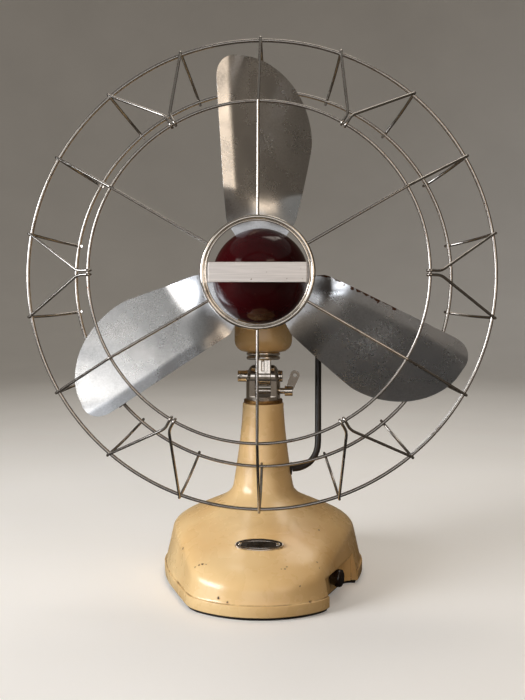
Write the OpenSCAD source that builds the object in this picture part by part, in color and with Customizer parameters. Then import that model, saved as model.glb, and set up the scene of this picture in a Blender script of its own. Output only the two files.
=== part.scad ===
// Desk fan: a wire guard round three blades, on a head that tilts and swivels over a cast foot.
// Origin on the column axis at table level, +Z up, the fan faces -Y and +X is the viewer's right.

/* [Base casting] */
// Radius of the foot's outline at the front
base_front_r = 75; // [72:1:78]
// Radius of the foot's outline at the back
base_rear_r = 84; // [80:1:90]
// Distance from the column axis forward to the centre of the front radius
base_front_reach = 47; // [44:1:50]
// Distance from the column axis back to the centre of the back radius
base_rear_reach = 5; // [2:1:12]
// Distance from the column axis to the flat flanks
flank_reach = 85.8; // [84:0.2:88]
// How far the flanks are turned towards the front, in degrees
flank_turn = 21.5; // [20:0.5:23]
// Slope of the foot's top, in degrees
top_slope = 24.4; // [23:0.2:26]
// Height at which the sloping top would meet the column axis
top_peak_z = 81.4; // [80:0.2:84]
// Height of the casting's lower edge above the table
skirt_z = 2.5; // [2:0.5:4]
// Height of the top of the rim band
rim_top_z = 11.8; // [10:0.2:14]
// How far the rim band stands out from the wall
rim_proud = 1.5; // [0.5:0.5:3]
// Wall thickness of the casting
base_wall = 4; // [3:0.5:5]
// Height of the column's foot
column_foot_z = 69.4; // [66:0.2:76]
// Radius of the column at its foot
column_foot_r = 26.8; // [25:0.2:29]
// Height of the top of the column
column_top_z = 147; // [140:1:155]
// Radius of the column at its top
column_top_r = 17.4; // [16:0.2:19]

/* [Base fittings] */
// Thickness of the bottom plate
plate_t = 2; // [1.5:0.5:3]
// How far the felt under the foot stays inside its outline
felt_inset = 1; // [0:0.5:3]
// Radius of the posts that take the bottom plate's screws
post_r = 5; // [4:0.5:6]
// Radius of the bottom plate's screws
plate_screw_r = 1.5; // [1:0.25:2]
// Length of the oval plate on the front slope
nameplate_l = 38; // [30:1:44]
// Height of the oval plate on the front slope
nameplate_h = 14; // [12:0.2:15]
// Thickness of the oval plate
nameplate_t = 1.8; // [1.4:0.2:2.4]
// Height of the oval plate's middle above the table
nameplate_z = 45.5; // [44:0.5:48]
// Radius of the bore of the mains inlet at the back
inlet_r = 3.5; // [2.5:0.5:4.5]

/* [Switch recess] */
// Width of the recess along the flank
recess_w = 67; // [62:1:68]
// Height of the top of the recess, which is open below
recess_top_z = 23.5; // [23:0.5:25]
// Depth of the recess in from the rim band
recess_d = 11.8; // [11:0.2:13]
// Height of the speed knob's middle
knob_z = 15.5; // [15:0.25:16]
// Radius of the speed knob
knob_r = 7; // [6:0.1:7.2]
// Length of the speed knob
knob_l = 9; // [8:0.5:10]

/* [Neck] */
// Height of the tilt axis above the top of the column
pivot_rise = 22.5; // [21:0.5:26]
// Tilt of the head at rest, front up
rest_tilt = 4.2; // [3:0.2:8]
// Width of the fork over its ears
fork_w = 29; // [27:0.5:32]
// Width of the tongue between the ears
tongue_w = 12.8; // [11:0.2:14]
// Depth of the tongue from front to back
tongue_d = 17; // [14:0.5:18]
// Radius of the rounded ears about the tilt axis
ear_r = 9.6; // [9:0.2:10.4]
// Radius of the tilt pin
tilt_pin_r = 3.5; // [3:0.25:4]
// Drop of the clamp screw below the tilt axis
clamp_drop = 12.5; // [12:0.5:14]
// Radius of the clamp screw
clamp_screw_r = 2.5; // [2:0.25:2.75]
// Length of the clamp lever's arm
lever_l = 17.5; // [15:0.5:19]
// Radius of the two beads of the swivel
bead_r = 14.25; // [13:0.25:16]
// Height of each bead
bead_h = 3.2; // [2.8:0.2:3.6]
// Height of the lower bead above the tilt axis
bead_z = 14; // [13.5:0.5:16]
// Radius of the swivel stud
stud_r = 5; // [4:0.5:6]

/* [Motor] */
// Height of the fan's axis above the tilt axis
axis_h = 81; // [78:1:90]
// Radius of the motor housing
housing_r = 39; // [38:0.5:40]
// Wall thickness of the housing
housing_wall = 2.5; // [2:0.25:3]
// Distance of the housing's front face from the tilt axis, forward
housing_front = 36; // [34:1:38]
// Distance of the joint between housing and rear cover from the tilt axis, back
housing_rear = 30; // [28:1:36]
// Length of the rear cover behind that joint
cover_l = 40; // [34:1:46]
// Radius of the boss under the housing
boss_r = 24.5; // [22:0.5:27]
// Radius of the motor shaft
shaft_r = 4; // [3:0.25:5]
// Outer radius of the bearings
bearing_r = 7; // [6.5:0.25:8]
// Length of the bearings
bearing_l = 14; // [10:1:16]
// Radius of the rotor
rotor_r = 22.5; // [20:0.5:24]
// Length of the stator's stack
stack_l = 30; // [24:1:32]

/* [Guard] */
// Radius of the outer ring to the middle of its wire
outer_ring_r = 182.3; // [180:0.5:190]
// Distance of the outer ring from the tilt axis, forward
outer_ring_y = 71; // [69:0.5:74]
// Radius of the front ring
front_ring_r = 127.4; // [122:0.5:132]
// Distance of the front ring from the tilt axis, forward
front_ring_y = 105; // [103:0.5:110]
// Radius of the rear ring
rear_ring_r = 154.4; // [150:0.5:156]
// Distance of the rear ring from the tilt axis, forward
rear_ring_y = 27; // [26.5:0.25:29]
// Radius of the wire of the outer and rear rings
ring_wire_r = 1.4; // [1.2:0.1:1.7]
// Radius of the wire of the front ring
front_wire_r = 1.2; // [1:0.1:1.5]
// Radius of the wire of the spokes and struts
spoke_wire_r = 1.1; // [0.9:0.1:1.3]
// Outer radius of the beaded ring in the middle
hub_ring_r = 42.9; // [41:0.5:46]
// Distance of the beaded ring from the tilt axis, forward
hub_ring_y = 109; // [107:0.5:113]
// Radius at which a pair of struts parts
strut_bend_r = 136; // [133:0.5:145]
// Angle from the middle of a pair of struts to where one meets the outer ring
strut_spread = 10.2; // [8:0.2:12]
// Distance between the two struts of a pair before they part
strut_gap = 3.2; // [2.8:0.2:5]
// Width of the flat arms that carry the guard
arm_w = 12; // [9:1:14]
// Thickness of those arms
arm_t = 2.5; // [2:0.25:3]
// Height of the bare bar across the beaded ring
bar_h = 15; // [12:0.5:18]
// Thickness of that bar
bar_t = 1.2; // [0.8:0.2:1.6]

/* [Blades] */
// Radius of the circle that the blade tips sweep
sweep_r = 175; // [168:0.5:177]
// Distance of the blades' roots from the tilt axis, forward
blade_y = 52; // [50:0.5:54]
// Pitch of the blades
blade_pitch = 27; // [20:0.5:29]
// Thickness of a blade
blade_t = 1.4; // [1:0.2:2]
// Reach of the straight edge to one side of the blade's middle line, at the tip
straight_reach = 34.5; // [30:0.5:37]
// Reach of the round edge to the other side
round_reach = 40.5; // [36:0.5:42]
// Radius on the blade at which the round edge reaches furthest
round_at = 109; // [100:1:118]
// Radius of the round cap over the hub
spinner_r = 38; // [36:0.5:40]
// Height of the round cap
spinner_l = 42; // [36:1:45]

/* [Motor lead] */
// Radius of the lead from the motor to the column
lead_r = 2.75; // [2.25:0.25:3]
// Height of the grommet where the lead enters the column
grommet_z = 90; // [86:1:94]

/* [Hidden] */
$fn = 48;

// Clearances: pieces that stay together, pieces that move, and running fits
fit = 0.05;
free = 0.3;
run = 0.04;
// Depth to which welded wires sink into each other
weld = 0.15;
// Extra length of a cut past the face that it opens
over = 1;

// Colours of the finishes
ivory = [0.86, 0.82, 0.70];
nickel = [0.70, 0.69, 0.66];
steel = [0.55, 0.55, 0.56];
brass = [0.72, 0.60, 0.34];
rubber = [0.10, 0.10, 0.10];
bakelite = [0.06, 0.05, 0.05];
burgundy = [0.28, 0.05, 0.07];
aluminium = [0.77, 0.78, 0.80];
copper = [0.72, 0.42, 0.25];
iron = [0.32, 0.32, 0.33];
felt = [0.12, 0.13, 0.12];

// Shared shapes and small functions
function lerp(a, b, t) = a + (b - a) * t;
function clamp01(x) = min(1, max(0, x));
// Smaller or larger of two lengths, blended where they are within k of each other
function soft_min(a, b, k) = min(a, b) - pow(max(0, k - abs(a - b)), 2) / (4 * k);
function soft_max(a, b, k) = -soft_min(-a, -b, k);
function smooth(x) = let(c = clamp01(x)) c * c * (3 - 2 * c);
function unit(v) = v / norm(v);
function arc(cx, cy, r, from, to, steps) = [for (i = [0 : steps])
    let(a = lerp(from, to, i / steps)) [cx + r * cos(a), cy + r * sin(a)]];
function curve(p0, p1, p2, p3, t) = p0 * pow(1 - t, 3) + p1 * 3 * t * pow(1 - t, 2)
    + p2 * 3 * t * t * (1 - t) + p3 * t * t * t;

function path_dir(p, i) = unit(p[min(i + 1, len(p) - 1)] - p[max(i - 1, 0)]);
function square_to(n, t) = unit(n - t * (n * t));
function first_normal(t) = square_to(abs(t[1]) < 0.8 ? [0, 1, 0] : [1, 0, 0], t);
function normals(p) = [for (i = 0, n = first_normal(path_dir(p, 0)); i < len(p);
    i = i + 1, n = square_to(n, path_dir(p, min(i, len(p) - 1)))) n];

// Wire or lead of one thickness along the points of a path
module tube(p, r, sides) {
    n = normals(p);
    end = len(p) - 1;
    points = [for (i = [0 : end]) let(t = path_dir(p, i), b = cross(t, n[i])) for (k = [0 : sides - 1])
        p[i] + r * (cos(360 * k / sides) * n[i] + sin(360 * k / sides) * b)];
    walls = [for (i = [0 : end - 1]) for (k = [0 : sides - 1]) let(
        a = i * sides + k, b = i * sides + (k + 1) % sides, c = b + sides, d = a + sides)
        each [[a, d, c], [a, c, b]]];
    caps = [[for (k = [0 : sides - 1]) k], [for (k = [sides - 1 : -1 : 0]) end * sides + k]];
    polyhedron(points, concat(walls, caps));
}

// Sheet over a grid of points, given thickness along the fan's axis
module sheet(rows, thickness) {
    n = len(rows);
    m = len(rows[0]);
    half = [0, thickness / 2, 0];
    points = concat([for (row = rows) each [for (p = row) p - half]],
        [for (row = rows) each [for (p = row) p + half]]);
    back = n * m;
    skin = [for (i = [0 : n - 2]) for (j = [0 : m - 2]) let(a = i * m + j, b = a + 1, c = a + m, d = c + 1)
        each [[a, c, d], [a, d, b], [back + a, back + d, back + c], [back + a, back + b, back + d]]];
    rim = concat([for (j = [0 : m - 2]) j], [for (i = [0 : n - 2]) i * m + m - 1],
        [for (j = [m - 1 : -1 : 1]) (n - 1) * m + j], [for (i = [n - 1 : -1 : 1]) i * m]);
    edges = [for (i = [0 : len(rim) - 1]) let(a = rim[i], b = rim[(i + 1) % len(rim)])
        each [[a, b, back + b], [a, back + b, back + a]]];
    polyhedron(points, concat(skin, edges));
}

// Foot outline: the span of circles between the front and the back radius, cut by two flat flanks
flank_corner = 4;
outline_steps = 12;
outline_sides = 48;
function circle_reach(a, cy, r) = let(s = cy * sin(a)) s + sqrt(max(0, r * r - cy * cy + s * s));
function span_r(a) = max([for (i = [0 : outline_steps]) let(t = i / outline_steps) circle_reach(a,
    lerp(-base_front_reach, base_rear_reach, t), lerp(base_front_r, base_rear_r, t))]);
function flank_r(a) = flank_reach / max(0.1, cos(a + flank_turn), -cos(a - flank_turn));
function foot_r(a) = soft_min(span_r(a), flank_r(a), flank_corner);
function foot_outline(grow) = [for (i = [0 : outline_sides - 1]) let(a = 360 * i / outline_sides)
    (foot_r(a) + grow) * [cos(a), sin(a)]];

// Casting: leaning walls round a shoulder into a sloping top, which flares into a tapering column
column_power = 1.5;
wall_lean = 0.23;
shoulder_round = 14;
flare_round = 12;
rim_lip = 1.2;
socket_r = 11;
socket_depth = 26;
cavity_top_z = column_top_z - socket_depth;
function column_r(z) = column_top_r + (column_foot_r - column_top_r)
    * pow(clamp01((column_top_z - z) / (column_top_z - column_foot_z)), column_power);
function top_r(z) = (top_peak_z - z) / tan(top_slope);
function wall_r(a, z) = foot_r(a) - wall_lean * max(0, z - rim_top_z);
function foot_shell_r(a, z) = soft_min(top_r(z), wall_r(a, z), shoulder_round);
function shell_r(a, z) = soft_max(column_r(z), foot_shell_r(a, z), flare_round);
function cavity_r(a, z) = shell_r(a, z + base_wall * 0.8) - base_wall;
function dome_z(share) = lerp(rim_top_z, column_foot_z, share);
// Height of the sloping top over a point of the plan
function shell_z(x, y) = top_peak_z - norm([x, y]) * tan(top_slope);

module casting_shell() {
    dome_shares = [0.1, 0.19, 0.27, 0.35, 0.43, 0.5, 0.57, 0.64, 0.71, 0.78, 0.85, 0.92];
    column_shares = [0, 0.06, 0.14, 0.28, 0.55, 1];
    outer = concat([[skirt_z, rim_proud], [rim_top_z - rim_lip, rim_proud], [rim_top_z, 0]],
        [for (s = dome_shares) [dome_z(s), 0]],
        [for (s = column_shares) [lerp(column_foot_z, column_top_z, s), 0]]);
    inner = concat([skirt_z], [for (s = dome_shares) dome_z(s) - base_wall],
        [for (s = [0, 0.14, 0.35]) lerp(column_foot_z, column_top_z, s)], [cavity_top_z]);
    n = outline_sides;
    up = len(outer);
    down = len(inner);
    points = concat(
        [for (row = outer) for (i = [0 : n - 1]) let(a = 360 * i / n, r = shell_r(a, row[0]) + row[1])
            [r * cos(a), r * sin(a), row[0]]],
        [for (z = inner) for (i = [0 : n - 1]) let(a = 360 * i / n, r = cavity_r(a, z))
            [r * cos(a), r * sin(a), z]]);
    outside = [for (j = [0 : up - 2]) for (i = [0 : n - 1]) let(
        a = j * n + i, b = j * n + (i + 1) % n, c = b + n, d = a + n) each [[a, d, c], [a, c, b]]];
    inside = [for (j = [up : up + down - 2]) for (i = [0 : n - 1]) let(
        a = j * n + i, b = j * n + (i + 1) % n, c = b + n, d = a + n) each [[a, c, d], [a, b, c]]];
    bottom = [for (i = [0 : n - 1]) let(a = i, b = (i + 1) % n, c = up * n + b, d = up * n + a)
        each [[a, b, c], [a, c, d]]];
    top = [[for (i = [n - 1 : -1 : 0]) (up - 1) * n + i], [for (i = [0 : n - 1]) (up + down - 1) * n + i]];
    polyhedron(points, concat(outside, inside, bottom, top));
}

// Places of the bottom plate's posts, in front and behind on both sides
post_places = [[28, -84], [-28, -84], [52, 38], [-52, 38]];
plate_z = skirt_z;
module post(p) {
    outer_edge = p * (1 + post_r / norm(p));
    top_z = shell_z(outer_edge[0], outer_edge[1]) - base_wall * 0.4;
    translate([p[0], p[1], plate_z + plate_t]) cylinder(r = post_r, h = top_z - plate_z - plate_t);
}

// The oval plate lies in a flat seat on the front slope
nameplate_y = -shell_r(-90, nameplate_z);
nameplate_step = 3;
nameplate_slope = atan2(2 * nameplate_step,
    shell_r(-90, nameplate_z - nameplate_step) - shell_r(-90, nameplate_z + nameplate_step));
nameplate_seat = 1;
nameplate_rivet_r = 1.1;
module on_front_slope() translate([0, nameplate_y, nameplate_z]) rotate([nameplate_slope, 0, 0]) children();
module oval(grow, h) linear_extrude(h) polygon([for (i = [0 : 35]) let(a = 10 * i)
    [(nameplate_l / 2 + grow) * cos(a), (nameplate_h / 2 + grow) * sin(a)]]);
nameplate_rivet_x = nameplate_l / 2 - 4;

// The recess opens on the right flank, square to it, with rounded inner corners
recess_wall = 2;
recess_side = -35;
recess_round = 9;
recess_front = flank_reach + rim_proud;
recess_back = recess_front - recess_d;
module at_recess() rotate([0, 0, -flank_turn]) translate([0, recess_side, 0]) children();
function recess_plan(grow) = concat([[recess_front + recess_d, recess_w / 2 + grow]],
    arc(recess_back + recess_round, recess_w / 2 - recess_round, recess_round + grow, 90, 180, 6),
    arc(recess_back + recess_round, recess_round - recess_w / 2, recess_round + grow, 180, 270, 6),
    [[recess_front + recess_d, -recess_w / 2 - grow]]);
module recess_space(grow, low) translate([0, 0, low]) linear_extrude(recess_top_z + grow - low)
    polygon(recess_plan(grow));
// Space of the recess and its liner, down through the foot
module recess_way() at_recess() recess_space(recess_wall + fit, -over);
knob_side = -3;
knob_shaft_r = 2.5;

// Mains inlet in the back wall, and the motor lead's grommet in the column's right side
inlet_z = 20;
inlet_y = shell_r(90, inlet_z);
grommet_wall = 1.6;
grommet_flange = 3;
grommet_t = 1.5;
grommet_x = column_r(grommet_z);

module base_casting() color(ivory) difference() {
    union() {
        casting_shell();
        for (p = post_places) post(p);
    }
    translate([0, 0, cavity_top_z - over]) cylinder(r = socket_r + fit, h = socket_depth + 2 * over);
    translate([0, 0, grommet_z]) rotate([0, 90, 0]) cylinder(r = lead_r + grommet_wall + fit,
        h = 2 * grommet_x);
    translate([grommet_x, 0, grommet_z]) rotate([0, 90, 0]) cylinder(r = lead_r + grommet_flange + fit,
        h = 2 * base_wall);
    translate([0, inlet_y - 4 * base_wall, inlet_z]) rotate([-90, 0, 0])
        cylinder(r = inlet_r + grommet_wall + fit, h = 8 * base_wall);
    translate([0, inlet_y, inlet_z]) rotate([-90, 0, 0])
        cylinder(r = inlet_r + grommet_flange + fit, h = 2 * base_wall);
    recess_way();
    on_front_slope() translate([0, 0, -nameplate_seat]) oval(fit, 4 * nameplate_t);
    on_front_slope() for (s = [-1, 1]) translate([s * nameplate_rivet_x, 0, -3 * base_wall])
        cylinder(r = nameplate_rivet_r + fit, h = 4 * base_wall);
    for (p = post_places) translate([p[0], p[1], plate_z]) cylinder(r = plate_screw_r + fit,
        h = plate_screw_l);
    translate([0, 0, grub_z]) rotate([90, 0, 180]) cylinder(r = grub_r + fit, h = 2 * column_top_r);
}

plate_screw_l = 16;
plate_inset = base_wall + 1;
module base_plate() color(steel) difference() {
    translate([0, 0, plate_z]) linear_extrude(plate_t) polygon(foot_outline(-plate_inset));
    recess_way();
    for (p = post_places) translate([p[0], p[1], plate_z - over])
        cylinder(r = plate_screw_r + fit, h = plate_t + 2 * over);
}

// Felt under the casting and the plate, with a hole over each screw head
module felt_pad() color(felt) difference() {
    linear_extrude(skirt_z) polygon(foot_outline(-felt_inset));
    recess_way();
    for (p = post_places) translate([p[0], p[1], -over]) cylinder(r = plate_head_r + free,
        h = skirt_z + 2 * over);
}

plate_head_r = 3.2;
plate_head_h = 1.6;
module plate_screws() color(steel) for (p = post_places) translate([p[0], p[1], plate_z - plate_head_h]) {
    cylinder(r = plate_head_r, h = plate_head_h);
    cylinder(r = plate_screw_r, h = plate_screw_l + plate_head_h - over);
}

module nameplate() color(bakelite) on_front_slope() difference() {
    translate([0, 0, -nameplate_seat]) oval(0, nameplate_t);
    for (s = [-1, 1]) translate([s * nameplate_rivet_x, 0, -2 * nameplate_t])
        cylinder(r = nameplate_rivet_r + fit, h = 4 * nameplate_t);
}

nameplate_rivet_head = 0.7;
module nameplate_rivets() color(nickel) on_front_slope() for (s = [-1, 1])
    translate([s * nameplate_rivet_x, 0, nameplate_t - nameplate_seat]) {
        cylinder(r = nameplate_rivet_r * 1.5, h = nameplate_rivet_head);
        translate([0, 0, -nameplate_t - base_wall / 2]) cylinder(r = nameplate_rivet_r,
            h = nameplate_t + base_wall / 2);
    }

// Grommet turned about Z, with its flange outside at z = 0 and its neck below
module grommet(bore, neck) rotate_extrude() polygon([[bore, -neck], [bore + grommet_wall, -neck],
    [bore + grommet_wall, 0], [bore + grommet_flange, 0], [bore + grommet_flange - 0.5, grommet_t],
        [bore, grommet_t]]);

module mains_grommet() color(rubber) translate([0, inlet_y, inlet_z]) rotate([-90, 0, 0])
    grommet(inlet_r, base_wall);

module switch_well() color(ivory) difference() {
    intersection() {
        at_recess() recess_space(recess_wall, skirt_z);
        translate([0, 0, -over]) linear_extrude(column_foot_z) polygon(foot_outline(-well_inset));
    }
    at_recess() recess_space(0, -over);
    at_knob() translate([0, 0, -over - recess_wall]) cylinder(r = knob_shaft_r + run,
        h = 2 * over + recess_wall);
}
// The liner ends inside the leaning wall
well_inset = 1 + wall_lean * (recess_top_z + recess_wall - rim_top_z);
module at_knob() at_recess() translate([recess_back, knob_side, knob_z]) rotate([0, 90,
    0]) children();

// Switch behind the recess: a body with the knob's shaft in it
switch_w = 26;
switch_l = 16;
switch_bore = 10;
switch_z = plate_z + plate_t + over;
module switch_body() color(bakelite) difference() {
    at_recess() translate([recess_back - recess_wall - switch_l, knob_side - switch_w / 2, switch_z])
        cube([switch_l, switch_w, recess_top_z - switch_z]);
    at_knob() translate([0, 0, -recess_wall - switch_bore]) cylinder(r = knob_shaft_r + run,
        h = switch_bore + over);
}

// The knob has a waist and a domed end, and its shaft runs in the switch
knob_stand = 1;
module speed_knob() color(bakelite) at_knob() {
    translate([0, 0, knob_stand]) rotate_extrude() polygon(concat([[0, 0], [knob_r * 0.8, 0],
        [knob_r * 0.85, 3],
        [knob_r, 5]], arc(knob_r - 2, knob_l - 2, 2, 0, 90, 4), [[0, knob_l]]));
    translate([0, 0, free - recess_wall - switch_bore]) cylinder(r = knob_shaft_r,
        h = switch_bore + recess_wall + knob_stand);
}

// Choke coil of the low speed and the terminals, on the bottom plate
coil_place = [-26, 18];
coil_size = [30, 26, 24];
coil_core = [46, 14, 14];
module speed_coil() color(copper) translate([coil_place[0], coil_place[1], plate_z + plate_t]) {
    translate([-coil_size[0] / 2, -coil_size[1] / 2, 0]) cube(coil_size);
    translate([-coil_core[0] / 2, -coil_core[1] / 2, 0]) cube(coil_core);
}

terminal_place = [22, 34];
terminal_size = [26, 14, 12];
terminal_r = 2;
module terminal_block() color(ivory) translate([terminal_place[0], terminal_place[1], plate_z + plate_t])
    difference() {
        translate([-terminal_size[0] / 2, -terminal_size[1] / 2, 0]) cube(terminal_size);
        for (s = [-1, 0, 1]) translate([s * terminal_size[0] / 3, 0, terminal_size[2] / 2])
            cylinder(r = terminal_r, h = terminal_size[2]);
    }

module lead_grommet() color(rubber) translate([grommet_x, 0, grommet_z]) rotate([0, 90, 0])
    grommet(lead_r, base_wall);

// Route of the lead: out of the gland on the housing, down beside the neck and into the column
lead_points = [[40.7, 22.9, 214.8], [43.2, 22.7, 212.4], [45.2, 22.4, 209], [46.3, 21.9, 204.5],
    [46.8, 21.2, 197.5], [47, 20, 188], [47, 18.5, 178], [47, 16.7, 167], [47, 14.7, 156],
    [47, 12.5, 145], [47, 10.2, 134], [47, 7.8, 123], [46.9, 5.3, 112], [46.1, 3.3, 106],
    [43.9, 1.7, 100.6], [40.4, 0.7, 96.1], [35.9, 0.2, 92.8], [30.7, 0, 90.7], [25, 0, 90]];
lead_joint = 7;
lead_sides = 8;
lead_gap = 0.1;
module lead_lower() color(rubber) tube(concat([for (i = [lead_joint : len(lead_points) - 2]) lead_points[i]],
    [[grommet_x + grommet_t + lead_gap, 0, grommet_z]]), lead_r, lead_sides);
lead_meet = lead_points[lead_joint];
module lead_upper() color(rubber) tube(concat([for (i = [0 : lead_joint - 1]) lead_points[i]],
    [lead_meet + lead_gap * unit(lead_points[lead_joint - 1] - lead_meet)]), lead_r, lead_sides);

// Fork on the column: a stem in the socket, a collar, and two ears
pivot_z = column_top_z + pivot_rise;
collar_h = 3;
collar_r = column_top_r - 0.9;
fork_foot_h = 3;
ear_gap = tongue_w + 2 * free;
ear_half = 9;
ear_bend = 4;
ear_top_half = ear_gap / 2 + 1.2;
grub_r = 2;
grub_z = column_top_z - socket_depth / 2;
module column_collar() color(brass) translate([0, 0, column_top_z]) difference() {
    cylinder(r = collar_r, h = collar_h);
    translate([0, 0, -over]) cylinder(r = socket_r + fit, h = collar_h + 2 * over);
}

module along_x(x, z) translate([x, 0, z]) rotate([0, 90, 0]) children();

module fork() color(nickel) difference() {
    union() {
        translate([0, 0, cavity_top_z]) cylinder(r = socket_r, h = socket_depth + collar_h);
        translate([0, 0, column_top_z + collar_h]) cylinder(r = fork_w / 2, h = fork_foot_h);
        intersection() {
            union() {
                translate([-fork_w / 2, -ear_half, column_top_z + collar_h + fork_foot_h / 2])
                    cube([fork_w, 2 * ear_half, pivot_rise - collar_h - fork_foot_h / 2]);
                along_x(-fork_w / 2, pivot_z) cylinder(r = ear_r, h = fork_w);
            }
            rotate_extrude() polygon(concat([[0, column_top_z], [fork_w / 2, column_top_z]],
                [for (i = [0 : 8]) let(a = 90 * i / 8) [lerp(ear_top_half, fork_w / 2, cos(a)),
                    pivot_z - ear_bend + (ear_r + ear_bend) * sin(a)]],
                [[0, pivot_z + ear_r]]));
        }
        along_x(-fork_w / 2, pivot_z) cylinder(r = tilt_head_r + free, h = fork_w);
    }
    translate([-ear_gap / 2, -2 * ear_r, column_top_z + collar_h + fork_foot_h])
        cube([ear_gap, 4 * ear_r, 2 * pivot_rise]);
    along_x(-fork_w, pivot_z) cylinder(r = tilt_pin_r + fit, h = 2 * fork_w);
    along_x(-ear_gap / 2 - clamp_thread, pivot_z - clamp_drop)
        cylinder(r = clamp_screw_r + run, h = 2 * fork_w);
    translate([0, 0, cavity_top_z - over]) cylinder(r = wire_way_r, h = socket_depth + over);
    translate([0, 0, grub_z]) rotate([90, 0, 180]) cylinder(r = grub_r + fit, h = 2 * column_top_r);
}
wire_way_r = 4;
clamp_thread = 5;

// Grub screw that holds the fork's stem, flush with the back of the column
module fork_grub_screw() color(steel) translate([0, 0, grub_z]) rotate([90, 0, 180])
    translate([0, 0, wire_way_r + over]) cylinder(r = grub_r, h = column_r(grub_z) - wire_way_r - 2 * over);

tilt_head_h = 2;
tilt_head_r = 4.8;
tilt_nut_h = 7;
tilt_thread = 2;
nut_hole_r = 1.7;
module tilt_pin() color(nickel) {
    along_x(-fork_w / 2 - tilt_thread, pivot_z) cylinder(r = tilt_pin_r, h = fork_w + tilt_thread);
    along_x(fork_w / 2, pivot_z) cylinder(r = tilt_head_r, h = tilt_head_h);
}
module tilt_nut() color(nickel) along_x(-fork_w / 2 - tilt_nut_h, pivot_z) difference() {
    cylinder(r = tilt_head_r, h = tilt_nut_h);
    translate([0, 0, tilt_nut_h - tilt_thread - fit]) cylinder(r = tilt_pin_r + fit, h = tilt_thread + over);
    translate([0, 0, tilt_nut_h - tilt_thread - over - nut_hole_r]) along_y(nut_hole_r, 4 * tilt_head_r);
}

// Clamp lever: a screw through the right ear into the left one, with a flat arm
lever_stand = 3.8;
lever_stub_r = 4.3;
lever_stub_l = 6.8;
lever_arm_r = 3;
lever_lean = 5.2;
module clamp_lever() color(nickel) {
    clamp_z = pivot_z - clamp_drop;
    stub_x = fork_w / 2 + lever_stand;
    arm = [stub_x + lever_stub_l / 2, 0, clamp_z];
    eye = arm + [lever_lean, 0, lever_l - lever_eye_r];
    along_x(free - ear_gap / 2 - clamp_thread, clamp_z) cylinder(r = clamp_screw_r,
        h = stub_x + ear_gap / 2 + clamp_thread);
    along_x(stub_x, clamp_z) cylinder(r = lever_stub_r, h = lever_stub_l);
    difference() {
        hull() {
            translate(arm) along_y(lever_arm_r, lever_eye_t);
            translate(eye) along_y(lever_eye_r, lever_eye_t);
        }
        translate(eye) along_y(lever_hole_r, 4 * lever_eye_t);
    }
}
module along_y(r, length) rotate([90, 0, 0]) cylinder(r = r, h = length, center = true);
lever_eye_r = 4;
lever_eye_t = 2.6;
lever_hole_r = 1.7;

// Head frame: its origin on the tilt axis, tilted as at rest
module at_head() translate([0, 0, pivot_z]) rotate([-rest_tilt, 0, 0]) children();
// Fan axis: local Z runs from the front to the back of the fan
module at_axis() at_head() translate([0, 0, axis_h]) rotate([-90, 0, 0]) children();

// Tongue: rounded about the tilt axis below, with the lower bead of the swivel on top
slot_w = 2;
slot_d = 1.5;
bead_round = 1.4;
tongue_r = clamp_drop - clamp_screw_r - 1;
module bead(h, bore) rotate_extrude() polygon(concat([[bore, 0]], arc(bead_r - bead_round, bead_round,
    bead_round, -90, 0, 4),
    arc(bead_r - bead_round, h - bead_round, bead_round, 0, 90, 4), [[bore, h]]));
module tilt_tongue() color(nickel) at_head() difference() {
    union() {
        along_x(-tongue_w / 2, 0) cylinder(r = tongue_r, h = tongue_w);
        translate([-tongue_w / 2, -tongue_d / 2, 0]) cube([tongue_w, tongue_d, bead_z + bead_h / 2]);
        translate([0, 0, bead_z]) bead(bead_h, stud_r + fit);
    }
    along_x(-tongue_w, 0) cylinder(r = tilt_pin_r + run, h = 2 * tongue_w);
    translate([0, 0, stud_foot_z]) cylinder(r = stud_r + fit, h = 2 * bead_z);
    translate([-slot_w / 2, -tongue_d, tilt_pin_r + 1]) cube([slot_w, tongue_d / 2 + slot_d,
        bead_z - tilt_pin_r - 2]);
}

// Swivel: the stud stands in the tongue and runs in the boss, with a nut in the boss's pocket. It ends
// short of the stator, and the nut follows it
bead_top_z = bead_z + 2 * bead_h + free;
stud_foot_z = tilt_pin_r + 3;
nut_h = 6;
nut_r = 9;
nut_pocket_r = 11.5;
stud_past_nut = 1;
stud_clear = 2.5;
stud_top_z = axis_h - housing_r + housing_wall - stud_clear;
nut_z = stud_top_z - stud_past_nut - nut_h - free;
module swivel_stud() color(steel) at_head() translate([0, 0, stud_foot_z])
    cylinder(r = stud_r, h = stud_top_z - stud_foot_z);
module swivel_nut() color(steel) at_head() translate([0, 0, nut_z + free]) difference() {
    cylinder(r = nut_r, h = nut_h, $fn = 6);
    translate([0, 0, -over]) cylinder(r = stud_r + fit, h = nut_h + 2 * over);
}
module swivel_bead() color(nickel) at_head() translate([0, 0, bead_z + bead_h + free])
    bead(bead_h, stud_r + run);

// Motor housing: a drum with a front wall, a bearing boss, and the neck boss below
inside_r = housing_r - housing_wall;
housing_round = 6;
bearing_wall = 3;
screw_r = 2;
screw_head_r = 3.6;
screw_head_h = 1.8;
boss_round = 9.5;
spigot_l = 5;
screw_y = housing_rear - spigot_l / 2;
screw_angles = [30, 150, 250];
arm_angles = [100, 220, 340];
arm_foot_l = 18;
arm_foot_y = -16;
arm_screw_y = arm_foot_y + arm_foot_l / 2 + 2;
gland_angle = -40;
gland_y = 19.5;
gland_r = 4.6;
gland_l = 14;
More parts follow.
